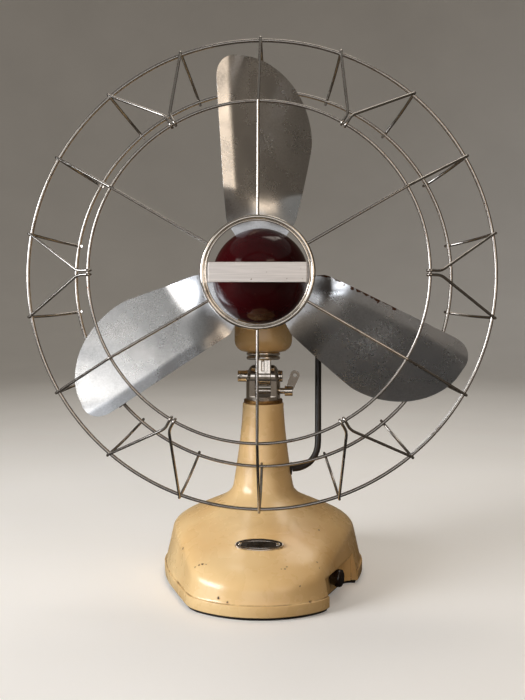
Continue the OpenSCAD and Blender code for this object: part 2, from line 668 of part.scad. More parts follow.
// Turns a shape that stands along X to an angle about the fan's axis, seen from the front
module round_axis(angle, y) at_axis() translate([0, 0, y]) rotate([0, 0, -angle]) rotate([0, 90,
    0]) children();
module motor_housing() color(ivory) difference() {
    union() {
        at_axis() rotate_extrude() polygon(concat([[0, -housing_front]],
            arc(housing_r - housing_round, housing_round - housing_front, housing_round, -90, 0, 5),
            [[housing_r, housing_rear], [0, housing_rear]]));
        at_head() rotate_extrude() polygon(concat([[0, bead_top_z]],
            arc(boss_r - boss_round, bead_top_z + boss_round, boss_round, -90, 0, 4),
            [[boss_r, axis_h - housing_r / 2], [0, axis_h - housing_r / 2]]));
    }
    at_axis() translate([0, 0, housing_wall - housing_front]) difference() {
        cylinder(r = inside_r, h = housing_front + housing_rear);
        translate([0, 0, -over]) cylinder(r = bearing_r + bearing_wall, h = bearing_l + over);
    }
    at_axis() translate([0, 0, -2 * housing_front]) cylinder(r = bearing_r + fit, h = 4 * housing_front);
    at_head() translate([0, 0, bead_z]) cylinder(r = stud_r + run, h = axis_h - bead_z);
    at_head() translate([0, 0, nut_z]) cylinder(r = nut_pocket_r, h = axis_h - nut_z);
    for (a = arm_angles) round_axis(a, arm_screw_y) cylinder(r = screw_r + fit, h = 2 * housing_r);
    for (a = screw_angles) round_axis(a, screw_y) cylinder(r = screw_r + fit, h = 2 * housing_r);
    round_axis(gland_angle, gland_y) cylinder(r = gland_r + fit, h = 2 * housing_r);
}

// Rear cover: a domed cap with a spigot in the housing, a bearing boss and vents
cover_round = 24;
vent_count = 6;
vent_r = 4;
vent_ring_r = 26;
cover_end = housing_rear + cover_l;
module rear_cover() color(ivory) difference() {
    union() {
        at_axis() rotate_extrude() polygon(concat([[0, housing_rear], [housing_r, housing_rear]],
            arc(housing_r - cover_round, cover_end - cover_round, cover_round, 0, 90, 8), [[0,
                cover_end]]));
        at_axis() translate([0, 0, housing_rear - spigot_l]) cylinder(r = inside_r - fit,
            h = spigot_l + over);
    }
    at_axis() translate([0, 0, housing_rear - spigot_l - over]) difference() {
        rotate_extrude() polygon(concat([[0, 0], [inside_r - housing_wall, 0]],
            arc(housing_r - cover_round, cover_l + spigot_l + over - cover_round,
                cover_round - housing_wall - 1, 0, 90, 6),
            [[0, cover_l + spigot_l + over - housing_wall - 1]]));
        translate([0, 0, cover_l + spigot_l + over - bearing_l - 2 * housing_wall])
            cylinder(r = bearing_r + bearing_wall, h = bearing_l + 2 * housing_wall);
    }
    at_axis() translate([0, 0, cover_end - bearing_l - 3 * housing_wall])
        cylinder(r = bearing_r + fit, h = bearing_l + 1.5 * housing_wall);
    at_axis() for (i = [0 : vent_count - 1]) rotate([0, 0, 360 * i / vent_count])
        translate([vent_ring_r, 0, housing_rear])
        cylinder(r = vent_r, h = 2 * cover_l);
    for (a = screw_angles) round_axis(a, screw_y) cylinder(r = screw_r + fit, h = 2 * housing_r);
}

module pan_screw(seat, foot) {
    translate([0, 0, seat]) cylinder(r = screw_head_r, h = screw_head_h);
    translate([0, 0, foot]) cylinder(r = screw_r, h = seat - foot);
}
screw_seat = 0.2;
module cover_screws() color(nickel) for (a = screw_angles) round_axis(a, screw_y)
    pan_screw(housing_r + screw_seat, inside_r - housing_wall);

// Stator and rotor of the motor
stator_clear = 0.1;
stack_y = -16;
coil_in = 1.5;
coil_end = 9;
pole_count = 4;
pole_angle = 68;
air_gap = 0.4;
module stator_core() color(iron) at_axis() translate([0, 0, stack_y]) difference() {
    cylinder(r = inside_r - stator_clear, h = stack_l);
    translate([0, 0, -over]) cylinder(r = rotor_r + air_gap, h = stack_l + 2 * over);
}
module field_coils() color(copper) at_axis() for (i = [0 : pole_count - 1]) rotate([0, 0,
    360 * i / pole_count])
    for (z = [stack_y - coil_end, stack_y + stack_l]) translate([0, 0, z])
        rotate_extrude(angle = pole_angle) translate([rotor_r + coil_in, 0])
            square([inside_r - rotor_r - 4 * coil_in, coil_end]);
module bearing() difference() {
    cylinder(r = bearing_r, h = bearing_l);
    translate([0, 0, -over]) cylinder(r = shaft_r + run, h = bearing_l + 2 * over);
}
module front_bearing() color(brass) at_axis() translate([0, 0, -housing_front]) bearing();
module rear_bearing() color(brass) at_axis() translate([0, 0, cover_end - bearing_l - 3
    * housing_wall]) bearing();
module rotor_core() color(iron) at_axis() translate([0, 0, stack_y]) difference() {
    cylinder(r = rotor_r, h = stack_l);
    translate([0, 0, -over]) cylinder(r = shaft_r + fit, h = stack_l + 2 * over);
}
shaft_tail = 3 * housing_wall + 2;
module motor_shaft() color(steel) at_axis() translate([0, 0, -blade_y - shaft_nose]) cylinder(r = shaft_r,
    h = blade_y + shaft_nose + cover_end - shaft_tail);
shaft_nose = 13;

module lead_gland() color(rubber) round_axis(gland_angle, gland_y) difference() {
    union() {
        translate([0, 0, inside_r - over]) cylinder(r = gland_r, h = gland_l + housing_wall + over);
        translate([0, 0, housing_r + screw_seat]) cylinder(r = gland_r + 1.6, h = 2);
    }
    cylinder(r = lead_r, h = 2 * housing_r);
}

// Guard: rings of round wire, tied by wires that wrap each ring in turn
module ring(r, y, wire) at_axis() translate([0, 0, -y]) rotate_extrude() translate([r, 0]) circle(r = wire);
module rear_ring() color(nickel) ring(rear_ring_r, rear_ring_y, ring_wire_r);
module outer_ring() color(nickel) ring(outer_ring_r, outer_ring_y, ring_wire_r);
module front_ring() color(nickel) ring(front_ring_r, front_ring_y, front_wire_r);

// Beaded ring: two rounded beads with a groove between them
bead_wire = 1.75;
thin_wire = 0.75;
bead_step = 2.3;
module hub_ring() color(nickel) at_axis() translate([0, 0, -hub_ring_y]) rotate_extrude() union() {
    translate([hub_ring_r - bead_wire, 0]) circle(r = bead_wire);
    translate([hub_ring_r - bead_wire - bead_step, 0]) circle(r = thin_wire);
    translate([hub_ring_r - bead_wire - bead_step, -thin_wire * 0.5]) square([bead_step, thin_wire]);
}

// A wire's course in a plane through the axis: distance out from the axis, and distance back
slope = atan2(front_ring_y - outer_ring_y, outer_ring_r - front_ring_r);
inner_slope = atan2(hub_ring_y - front_ring_y - front_wire_r - spoke_wire_r, front_ring_r - hub_ring_r);
wrap_end = 20;
hook_from = 58;
hook_to = 205;
strut_hook = -165;
bow_pull = 0.42;
function wrap(r, y, wire, from, to, steps) = arc(r, -y, wire + spoke_wire_r - weld, from, to, steps);
function along(a) = [cos(a), sin(a)];
front_wrap = wrap(front_ring_r, front_ring_y, front_wire_r, inner_slope - 90, slope - 90, 3);
outer_wrap = wrap(outer_ring_r, outer_ring_y, ring_wire_r, slope - 90, wrap_end, 5);
rear_wrap = wrap(rear_ring_r, rear_ring_y, ring_wire_r, hook_from, hook_to, 7);
bow_from = outer_wrap[len(outer_wrap) - 1];
bow_reach = bow_pull * norm(rear_wrap[0] - bow_from);
bow = [for (i = [1 : 5]) curve(bow_from, bow_from + bow_reach * along(wrap_end + 90),
    rear_wrap[0] - bow_reach * along(hook_from + 90), rear_wrap[0], i / 6)];
return_course = concat(outer_wrap, bow, rear_wrap);
spoke_course = concat([[hub_ring_r - bead_wire, -hub_ring_y]], front_wrap, return_course);
hook_course = wrap(front_ring_r, front_ring_y, front_wire_r, strut_hook, slope - 90, 5);
strut_bend = let(p = hook_course[5]) p + along(slope) * (strut_bend_r - p[0]) / cos(slope);
function placed(q, angle, side) = [q[0] * cos(angle) - side * sin(angle), q[1],
    axis_h + q[0] * sin(angle) + side * cos(angle)];
wire_sides = 6;

module guard_spokes() color(nickel) at_head() for (i = [0 : 5])
    tube([for (q = spoke_course) placed(q, 30 + 60 * i, 0)], spoke_wire_r, wire_sides);

module guard_struts() color(nickel) at_head() for (i = [0 : 5], s = [-1, 1])
    tube(concat([for (q = concat(hook_course, [strut_bend])) placed(q, 60 * i, s * strut_gap / 2)],
        [for (q = return_course) placed(q, 60 * i + s * strut_spread, 0)]), spoke_wire_r, wire_sides);

// Flat arms from the housing to the back of the rear ring
arm_tip = 5;
arm_seat = 0.05;
module guard_arms() color(nickel) for (a = arm_angles) difference() {
    at_axis() rotate([0, 0, -a]) rotate([90, 0, 0]) translate([0, 0, -arm_w / 2]) linear_extrude(arm_w)
        polygon([[housing_r + arm_seat, arm_foot_y + arm_foot_l], [housing_r + arm_seat, arm_foot_y],
            [rear_ring_r - 2 * arm_tip, ring_wire_r - rear_ring_y], [rear_ring_r + arm_tip,
                ring_wire_r - rear_ring_y],
            [rear_ring_r + arm_tip, ring_wire_r - rear_ring_y + arm_t],
            [rear_ring_r - 2 * arm_tip, ring_wire_r - rear_ring_y + arm_t],
            [housing_r + arm_seat + arm_t, arm_foot_y + arm_t], [housing_r + arm_seat + arm_t,
                arm_foot_y + arm_foot_l]]);
    round_axis(a, arm_screw_y) cylinder(r = screw_r + fit, h = 2 * housing_r);
}
module guard_screws() color(steel) for (a = arm_angles) round_axis(a, arm_screw_y)
    pan_screw(housing_r + arm_seat + arm_t, inside_r + screw_seat);

// Bare bar across the beaded ring: its ends fold back and lie behind the ring
bar_fold = 4;
bar_front = hub_ring_y + 3;
bar_half = hub_ring_r - bead_wire - bead_step - thin_wire - 1.6;
bar_tab_y = bead_wire - hub_ring_y;
module badge_bar() color(aluminium) at_head() translate([0, 0, axis_h - bar_h / 2]) linear_extrude(bar_h)
    polygon([[-bar_half, -bar_front], [bar_half, -bar_front], [bar_half, bar_tab_y],
        [bar_half + bar_fold, bar_tab_y], [bar_half + bar_fold, bar_tab_y + bar_t], [bar_half - bar_t,
            bar_tab_y + bar_t],
        [bar_half - bar_t, bar_t - bar_front], [bar_t - bar_half, bar_t - bar_front], [bar_t - bar_half,
            bar_tab_y + bar_t],
        [-bar_half - bar_fold, bar_tab_y + bar_t], [-bar_half - bar_fold, bar_tab_y], [-bar_half,
            bar_tab_y]]);

// Blades: flat roots clamped between two plates, turning to full pitch further out
root_r = 23;
root_share = 0.5;
root_flat_r = 38;
full_pitch_r = 72;
neck_r = 44;
root_reach = 27.5;
tip_mid = -14;
tip_corner = 20;
tip_power = 2.5;
blade_rows = 20;
blade_columns = 8;
blade_end = sqrt(sweep_r * sweep_r - tip_mid * tip_mid);
function root_width(r) = lerp(root_share, 1, clamp01((r - root_r) / (neck_r - root_r)));
function straight_edge(r) = r < blade_end - tip_corner
    ? -root_width(r) * lerp(root_reach, straight_reach,
        clamp01((r - neck_r) / (blade_end - tip_corner - neck_r)))
    : tip_mid - (straight_reach + tip_mid)
        * pow(1 - pow((r - blade_end + tip_corner) / tip_corner, tip_power), 1 / tip_power);
function round_edge(r) = r < round_at
    ? root_width(r) * lerp(round_reach, root_reach, pow(clamp01((round_at - r) / (round_at - neck_r)),
        1.15))
    : tip_mid + (round_reach - tip_mid) * sqrt(max(0, 1 - pow((r - round_at) / (blade_end - round_at), 2)));
function pitch_at(r) = tan(blade_pitch) * smooth((r - root_flat_r) / (full_pitch_r - root_flat_r));
// Rows stand closer together towards the tip
tip_trim = 0.4;
function row_r(i) = lerp(root_r, blade_end - tip_trim, sin(90 * i / (blade_rows - 1)));
blade_grid = [for (i = [0 : blade_rows - 1]) let(r = row_r(i)) [for (j = [0 : blade_columns - 1])
    let(t = lerp(straight_edge(r), round_edge(r), j / (blade_columns - 1))) [t,
        pitch_at(r) * t - blade_y, r]]];
rivet_r = 1.6;
rivet_ring_r = 30;
rivet_angles = [-20, 0, 20];
plate_r = spinner_r - 1.5;
hub_plate_t = 3;
clamp_plate_t = 2.5;
hub_boss_r = 11;
hub_boss_l = 8;
module at_spin(turn) at_head() translate([0, 0, axis_h]) rotate([0, turn, 0]) children();
module rivet_holes() for (b = [0, 120, 240], a = rivet_angles) at_axis() rotate([0, 0, b + a - 90])
    translate([rivet_ring_r, 0, -2 * blade_y]) cylinder(r = rivet_r + fit, h = 2 * blade_y);
module blade(turn) color(aluminium) difference() {
    at_spin(turn) sheet(blade_grid, blade_t);
    rivet_holes();
}
module blade_1() blade(0);
module blade_2() blade(120);
module blade_3() blade(240);

module blade_hub() color(steel) difference() {
    at_axis() translate([0, 0, blade_t / 2 - blade_y]) {
        cylinder(r = plate_r - 1, h = hub_plate_t);
        cylinder(r = hub_boss_r, h = hub_plate_t + hub_boss_l);
    }
    at_axis() translate([0, 0, -2 * blade_y]) cylinder(r = shaft_r + fit, h = 2 * blade_y);
    rivet_holes();
}
module clamp_plate() color(steel) difference() {
    at_axis() translate([0, 0, -blade_y - blade_t / 2 - clamp_plate_t])
        cylinder(r = plate_r, h = clamp_plate_t);
    at_axis() translate([0, 0, -2 * blade_y]) cylinder(r = shaft_r + fit, h = 2 * blade_y);
    rivet_holes();
}
rivet_head_r = 2.6;
rivet_head_h = 1.4;
rivet_grip = hub_plate_t + blade_t + clamp_plate_t;
module blade_rivets() color(aluminium) for (b = [0, 120, 240], a = rivet_angles) at_axis() rotate([0, 0,
    b + a - 90])
    translate([rivet_ring_r, 0, -blade_y - blade_t / 2 - clamp_plate_t]) {
        cylinder(r = rivet_r, h = rivet_grip);
        translate([0, 0, -rivet_head_h]) cylinder(r = rivet_head_r, h = rivet_head_h);
        translate([0, 0, rivet_grip]) cylinder(r = rivet_head_r, h = rivet_head_h);
    }
hub_nut_r = 7.5;
hub_nut_h = 5;
module hub_nut() color(steel) at_axis()
    translate([0, 0, -blade_y - blade_t / 2 - clamp_plate_t - hub_nut_h]) difference() {
    cylinder(r = hub_nut_r, h = hub_nut_h, $fn = 6);
    translate([0, 0, -over]) cylinder(r = shaft_r + fit, h = hub_nut_h + 2 * over);
}

// Round cap pressed on the clamp plate: a short skirt and a dome
spinner_wall = spinner_r - plate_r - fit;
spinner_skirt = 5;
spinner_gap = 0.4;
function dome(r, l, steps) = [for (i = [0 : steps]) let(a = 90 * i / steps) [r * cos(a),
    -spinner_skirt - l * sin(a)]];
module spinner() color(burgundy) at_axis()
    translate([0, 0, -blade_y - blade_t / 2 - spinner_gap]) difference() {
    rotate_extrude() polygon(concat([[0, 0], [spinner_r, 0]], dome(spinner_r, spinner_l - spinner_skirt,
        12)));
    rotate_extrude() polygon(concat([[0, over], [spinner_r - spinner_wall, over]],
        dome(spinner_r - spinner_wall, spinner_l - spinner_skirt - spinner_wall, 12)));
}

base_casting();
base_plate();
felt_pad();
plate_screws();
nameplate();
nameplate_rivets();
mains_grommet();
switch_well();
switch_body();
speed_coil();
terminal_block();
lead_grommet();
lead_lower();
column_collar();
fork();
fork_grub_screw();
tilt_pin();
tilt_nut();
speed_knob();
clamp_lever();
tilt_tongue();
swivel_stud();
swivel_nut();
lead_upper();
swivel_bead();
motor_housing();
rear_cover();
cover_screws();
stator_core();
field_coils();
front_bearing();
rear_bearing();
guard_arms();
guard_screws();
rear_ring();
outer_ring();
front_ring();
hub_ring();
guard_spokes();
guard_struts();
badge_bar();
lead_gland();
motor_shaft();
rotor_core();
blade_hub();
blade_1();
blade_2();
blade_3();
clamp_plate();
blade_rivets();
hub_nut();
spinner();
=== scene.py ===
"""Desk fan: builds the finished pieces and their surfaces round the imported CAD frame."""

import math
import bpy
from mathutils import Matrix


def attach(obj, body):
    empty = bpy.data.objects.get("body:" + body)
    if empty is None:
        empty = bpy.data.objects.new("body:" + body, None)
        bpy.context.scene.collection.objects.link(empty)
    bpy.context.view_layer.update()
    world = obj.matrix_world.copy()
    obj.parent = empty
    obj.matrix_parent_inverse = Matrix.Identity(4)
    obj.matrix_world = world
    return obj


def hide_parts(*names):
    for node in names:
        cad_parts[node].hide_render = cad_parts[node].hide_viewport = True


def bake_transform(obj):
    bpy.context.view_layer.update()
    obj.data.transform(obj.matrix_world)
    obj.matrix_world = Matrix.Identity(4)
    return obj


bl_info = {
    "name": "Desk fan with a wire guard",
    "version": (1, 0, 0),
    "blender": (4, 5, 0),
    "location": "View3D > Sidebar > Desk fan",
    "description": "Builds the fan's finished pieces and surfaces round its CAD frame",
    "category": "Add Mesh",
}

import bmesh
import bpy
from mathutils import Matrix, Vector, noise

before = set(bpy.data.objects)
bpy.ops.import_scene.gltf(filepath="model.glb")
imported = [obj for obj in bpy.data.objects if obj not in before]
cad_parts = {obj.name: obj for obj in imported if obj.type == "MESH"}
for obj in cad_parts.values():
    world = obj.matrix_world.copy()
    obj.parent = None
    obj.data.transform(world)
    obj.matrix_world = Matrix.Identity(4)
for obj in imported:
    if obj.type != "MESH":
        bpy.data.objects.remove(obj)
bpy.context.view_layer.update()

# Shapes are worked out in millimetres and placed by these matrices, in metres
MM = 0.001
REST_TILT = math.radians(4.2)
PIVOT_Z = 169.5
AXIS_H = 81.0
HOUSING_R = 39
ON_TABLE = Matrix.Scale(MM, 4)
HEAD = ON_TABLE @ Matrix.Translation((0, 0, PIVOT_Z)) @ Matrix.Rotation(-REST_TILT, 4, "X")
HUB = HEAD @ Matrix.Translation((0, 0, AXIS_H))
# Local Z of the fan's axis runs from the front of the fan to its back
AXIS = HUB @ Matrix.Rotation(-math.pi / 2, 4, "X")


# Numbers, colours and properties


def mm(value):
    """A length in metres, in millimetres."""
    return value / MM


def lerp(a, b, t):
    return a + (b - a) * t


def clamp01(x):
    return min(1.0, max(0.0, x))


def ease(x):
    x = clamp01(x)
    return x * x * (3 - 2 * x)


def hex_colour(code):
    """Linear RGBA of an sRGB hex value."""
    parts = [int(code[i : i + 2], 16) / 255 for i in (1, 3, 5)]
    linear = [c / 12.92 if c <= 0.04045 else ((c + 0.055) / 1.055) ** 2.4 for c in parts]
    return (*linear, 1.0)


def darker(colour, share):
    return tuple(c * share for c in colour[:3]) + (1.0,)


def number_prop(name, text, value, **more):
    return bpy.props.FloatProperty(name=name, description=text, default=value, **more)


def length_prop(name, text, value_mm):
    return number_prop(name, text, value_mm * MM, precision=5, unit="LENGTH")


def power_prop(name, text, watts):
    return number_prop(name, text, watts, unit="POWER")


def angle_prop(name, text, degrees):
    return number_prop(name, text, math.radians(degrees), subtype="ANGLE")


def colour_prop(name, text, code):
    return bpy.props.FloatVectorProperty(
        name=name, description=text, default=hex_colour(code), size=4, min=0, max=1, subtype="COLOR"
    )


# Sizes and colours that a user would change


class FanBaseSizes(bpy.types.PropertyGroup):
    """Sizes of the cast foot and column"""

    front_r: length_prop("Front radius", "Radius of the foot's outline at the front", 75)
    rear_r: length_prop("Back radius", "Radius of the foot's outline at the back", 84)
    front_reach: length_prop("Front reach", "Column axis to the front radius's centre", 47)
    rear_reach: length_prop("Back reach", "Column axis to the back radius's centre", 5)
    flank_reach: length_prop("Flank reach", "Column axis to the flat flanks", 85.8)
    flank_turn: angle_prop("Flank turn", "How far the flanks are turned towards the front", 21.5)
    top_slope: angle_prop("Top slope", "Slope of the foot's top", 24.4)
    top_peak_z: length_prop("Top peak", "Height at which the top's slope would meet the axis", 81.4)
    skirt_z: length_prop("Lower edge", "Height of the casting's lower edge", 2.5)
    rim_top_z: length_prop("Rim top", "Height of the top of the rim band", 11.8)
    rim_proud: length_prop("Rim step", "How far the rim band stands out", 1.5)
    wall: length_prop("Wall", "Wall thickness of the casting", 4)
    foot_z: length_prop("Column foot", "Height of the column's foot", 69.4)
    foot_r: length_prop("Column foot radius", "Radius of the column at its foot", 26.8)
    top_z: length_prop("Column top", "Height of the top of the column", 147)
    top_r: length_prop("Column top radius", "Radius of the column at its top", 17.4)
    plate_l: length_prop("Plate length", "Length of the oval plate", 38)
    plate_h: length_prop("Plate height", "Height of the oval plate", 14)
    plate_z: length_prop("Plate place", "Height of the oval plate's middle", 45.5)


class FanGuardSizes(bpy.types.PropertyGroup):
    """Sizes of the wire guard"""

    outer_r: length_prop("Outer ring", "Radius of the outer ring", 182.3)
    outer_y: length_prop("Outer ring forward", "Outer ring forward of the tilt axis", 71)
    front_r: length_prop("Front ring", "Radius of the front ring", 127.4)
    front_y: length_prop("Front ring forward", "Front ring forward of the tilt axis", 105)
    rear_r: length_prop("Rear ring", "Radius of the rear ring", 154.4)
    rear_y: length_prop("Rear ring forward", "Rear ring forward of the tilt axis", 27)
    hub_r: length_prop("Middle ring", "Outer radius of the beaded ring", 42.9)
    hub_y: length_prop("Middle ring forward", "Beaded ring forward of the tilt axis", 109)
    ring_wire: length_prop("Ring wire", "Radius of the outer and rear rings' wire", 1.4)
    front_wire: length_prop("Front wire", "Radius of the front ring's wire", 1.2)
    spoke_wire: length_prop("Spoke wire", "Radius of the spokes' and struts' wire", 1.1)
    spokes: bpy.props.IntProperty(
        name="Spokes", description="Number of spokes and of pairs of struts", default=6, min=3
    )


class FanBladeSizes(bpy.types.PropertyGroup):
    """Sizes of the blades and the cap"""

    sweep_r: length_prop("Sweep", "Radius of the circle that the tips sweep", 175)
    root_y: length_prop("Blades forward", "Blade roots forward of the tilt axis", 52)
    thickness: length_prop("Thickness", "Thickness of a blade", 1.4)
    pitch: angle_prop("Pitch", "Pitch of the blades", 27)
    edge_bend: angle_prop("Edge bend", "Bend of the strip along the straight edge", 13)
    edge_strip: length_prop("Edge strip", "Width of that strip", 10.5)
    cap_r: length_prop("Cap radius", "Radius of the round cap", 38)
    cap_l: length_prop("Cap height", "Height of the round cap", 42)


class FanColours(bpy.types.PropertyGroup):
    """Colours of the finishes"""

    ivory: colour_prop("Ivory", "Stoved enamel of the castings", "#F0CD94")
    ivory_old: colour_prop("Aged ivory", "The same enamel where it has yellowed", "#E4B97B")
    chip: colour_prop("Chip", "Dark iron where enamel has come off", "#3B2C20")
    nick: colour_prop("Nick", "Brown corrosion of the blades", "#553A2C")
    # Painted shade: colour of the dark line in the crease above the rim band
    grime: colour_prop("Grime", "Dirt in the crease of the foot", "#7A5630")
    rust: colour_prop("Rust", "Rust round chips and pits", "#7A4A26")
    nickel: colour_prop("Nickel", "Plating of the neck", "#CFC8BE")
    wire: colour_prop("Wire", "Worn plating of the guard", "#A8A39D")
    tarnish: colour_prop("Tarnish", "Brown tarnish on the plating", "#5B4736")
    burgundy: colour_prop("Burgundy", "Enamel of the cap", "#38060A")
    aluminium: colour_prop("Aluminium", "Sheet of the blades", "#CBCDCF")
    dull: colour_prop("Dull aluminium", "Oxidised patches of that sheet", "#9FA1A3")
    bar: colour_prop("Bar", "Brushed bar across the guard", "#C9C3BD")
    black: colour_prop("Black", "Bakelite and black enamel", "#120E0B")
    rubber: colour_prop("Rubber", "Covering of the motor lead", "#19130F")
    felt: colour_prop("Felt", "Felt under the foot", "#17110D")


class FanStage(bpy.types.PropertyGroup):
    """Camera, floor and lights"""

    side: length_prop("Camera side", "Camera to the right of the column axis", 34)
    back: length_prop("Camera back", "Camera in front of the column axis", 826)
    height: length_prop("Camera height", "Camera above the table", 262)
    pitch: angle_prop("Camera pitch", "Camera's tilt down", 4.85)
    yaw: angle_prop("Camera turn", "Camera's turn to the left", 2.4)
    lens: number_prop("Lens", "Focal length", 50.2, unit="CAMERA")
    floor: colour_prop("Floor", "Pale floor and backdrop", "#F9F6F1")
    # Painted reflections: floor colours that only the metals see, dark near the foot and lighter
    # farther off
    near: colour_prop("Mirrored near", "Floor near the foot, as the metals mirror it", "#302E2D")
    far: colour_prop("Mirrored far", "Floor farther off, as the metals mirror it", "#8C847A")
    key: power_prop("Key", "Light from the upper left that the left blade mirrors", 3)
    left: power_prop("Left", "Light from the left, held together by a grid", 5.8)
    front_card: power_prop("Front card", "Card behind the camera that the bar mirrors", 4.5)
    fill: power_prop("Fill", "Weak light from the front right", 4.5)
    top: power_prop("Top", "Light from above and behind", 5)


# Mesh helpers

SOFT_ANGLE = 32
WELD_DIST = 2e-6
FLAT_ANGLE = math.radians(0.6)


def turns(steps):
    """Angles of one turn in equal steps."""
    return [2 * math.pi * i / steps for i in range(steps)]


def polar(r, a, z):
    return Vector((r * math.cos(a), r * math.sin(a), z))


def arc(cx, cy, r, start, end, steps):
    """Points of an arc in degrees, both ends included."""
    angles = [math.radians(lerp(start, end, i / steps)) for i in range(steps + 1)]
    return [(cx + r * math.cos(a), cy + r * math.sin(a)) for a in angles]


def outward(bm):
    """Every face of the closed shapes points outwards."""
    bmesh.ops.recalc_face_normals(bm, faces=bm.faces)


def skin(bm, rows, loop=False, caps=False):
    """Faces over rows of points, each row a closed ring."""
    verts = [[bm.verts.new(p) for p in row] for row in rows]
    n = len(rows[0])
    for i in range(len(rows) if loop else len(rows) - 1):
        a, b = verts[i], verts[(i + 1) % len(rows)]
        for k in range(n):
            m = (k + 1) % n
            bm.faces.new((a[k], a[m], b[m], b[k]))
    if caps:
        bm.faces.new(verts[0][::-1])
        bm.faces.new(verts[-1])
    return verts


def closed(rows, loop=False):
    """Closed shape over rows of points: a loop of rows, or rows with a cap at each end."""
    bm = bmesh.new()
    skin(bm, rows, loop, caps=not loop)
    outward(bm)
    return bm


def turned(profile, steps, place):
    """Solid turned about local Z from a closed profile of (radius, height)."""
    bm = bmesh.new()
    skin(bm, [[place @ polar(r, a, z) for r, z in profile] for a in turns(steps)], loop=True)
    bmesh.ops.remove_doubles(bm, verts=bm.verts, dist=1e-7)
    outward(bm)
    return bm


def tube(points, radius, sides):
    """Round tube along points, without twist."""
    rows = []
    side = None
    for i, p in enumerate(points):
        way = (points[min(i + 1, len(points) - 1)] - points[max(i - 1, 0)]).normalized()
        if side is None:
            side = way.orthogonal()
        side = (side - way * side.dot(way)).normalized()
        other = way.cross(side)
        rows.append([p + radius * (math.cos(t) * side + math.sin(t) * other) for t in turns(sides)])
    return closed(rows)


def smooth_path(points, steps):
    """Points of a Catmull-Rom curve through the given ones."""
    ends = [2 * points[0] - points[1]] + points + [2 * points[-1] - points[-2]]
    path = [points[0]]
    for i in range(1, len(ends) - 2):
        p0, p1, p2, p3 = ends[i - 1 : i + 3]
        for k in range(1, steps + 1):
            t = k / steps
            path.append(
                0.5 * (2 * p1 + (p2 - p0) * t + (2 * p0 - 5 * p1 + 4 * p2 - p3) * t**2
                       + (3 * p1 - p0 - 3 * p2 + p3) * t**3)
            )
    return path


def new_object(name, data):
    obj = bpy.data.objects.new(name, data)
    bpy.context.scene.collection.objects.link(obj)
    return obj


def shade(bm, sharp):
    """Smooth faces, parted by edges sharper than that many degrees."""
    for edge in bm.edges:
        edge.smooth = len(edge.link_faces) == 2 and edge.calc_face_angle() < math.radians(sharp)
    for face in bm.faces:
        face.smooth = True


def piece(name, bm, *materials, sharp=35):
    """Object from a bmesh, smooth apart from its sharp edges."""
    shade(bm, sharp)
    mesh = bpy.data.meshes.new(name)
    bm.to_mesh(mesh)
    bm.free()
    for material in materials:
        mesh.materials.append(material)
    return new_object(name, mesh)


def settle(obj):
    """Turns an object's modifiers into a plain mesh."""
    bpy.context.view_layer.update()
    graph = bpy.context.evaluated_depsgraph_get()
    mesh = bpy.data.meshes.new_from_object(
        obj.evaluated_get(graph), preserve_all_data_layers=True, depsgraph=graph
    )
    obj.modifiers.clear()
    obj.data = mesh
    return obj


def cut(obj, bm):
    """Takes the closed shape in bm out of an object."""
    tool = piece("cutter", bm)
    hole = obj.modifiers.new("Cut", "BOOLEAN")
    hole.operation = "DIFFERENCE"
    hole.solver = "EXACT"
    hole.object = tool
    settle(obj)
    bpy.data.objects.remove(tool)


def round_edges(obj, width_mm, degrees):
    """Bevels the edges sharper than that many degrees."""
    bevel = obj.modifiers.new("Round", "BEVEL")
    bevel.width = width_mm * MM
    bevel.segments = 2
    bevel.limit_method = "ANGLE"
    bevel.angle_limit = math.radians(degrees)


def softened(node_name, name, material, round_mm):
    """Copy of a CAD node's solid with its edges rounded as a casting's or a turned piece's are."""
    bm = bmesh.new()
    bm.from_mesh(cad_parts[node_name].data)
    bmesh.ops.remove_doubles(bm, verts=bm.verts, dist=WELD_DIST)
    bmesh.ops.dissolve_limit(bm, angle_limit=FLAT_ANGLE, verts=bm.verts, edges=bm.edges)
    obj = piece(name, bm, material, sharp=SOFT_ANGLE)
    round_edges(obj, round_mm, SOFT_ANGLE)
    weighted = obj.modifiers.new("Shade", "WEIGHTED_NORMAL")
    weighted.keep_sharp = False
    return settle(obj)


def seat(obj, body, slot, *nodes):
    """Puts a finished piece on its body in place of the CAD nodes that it stands for."""
    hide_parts(*nodes)
    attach(obj, body)


# Node helpers


def feed(tree, made, inputs):
    """Links or sets a node's inputs. A node that is given stands for its first output."""
    for key, value in inputs.items():
        if isinstance(value, bpy.types.Node):
            value = value.outputs[0]
        if isinstance(value, bpy.types.NodeSocket):
            tree.links.new(value, made.inputs[key])
        else:
            made.inputs[key].default_value = value


def node(tree, kind, inputs=None, **settings):
    """Adds a node with its settings and links."""
    made = tree.nodes.new(kind)
    for key, value in settings.items():
        setattr(made, key, value)
    feed(tree, made, inputs or {})
    return made


def surface(name):
    """Material with a bare shader: the material, its tree, its shader and Object coordinates."""
    material = bpy.data.materials.get(name) or bpy.data.materials.new(name)
    material.use_nodes = True
    tree = material.node_tree
    tree.nodes.clear()
    shader = node(tree, "ShaderNodeBsdfPrincipled")
    node(tree, "ShaderNodeOutputMaterial", {"Surface": shader})
    coords = node(tree, "ShaderNodeTexCoord").outputs["Object"]
    return material, tree, shader, coords


def mottle(tree, coords, size_mm, low, high, detail=3.0, roughness=0.5):
    """Soft patches of about that size, from 0 to 1."""
    pattern = node(
        tree, "ShaderNodeTexNoise",
        {"Vector": coords, "Scale": 1 / (size_mm * MM), "Detail": detail, "Roughness": roughness},
    )
    return node(tree, "ShaderNodeMapRange", {"Value": pattern, "From Min": low, "From Max": high})


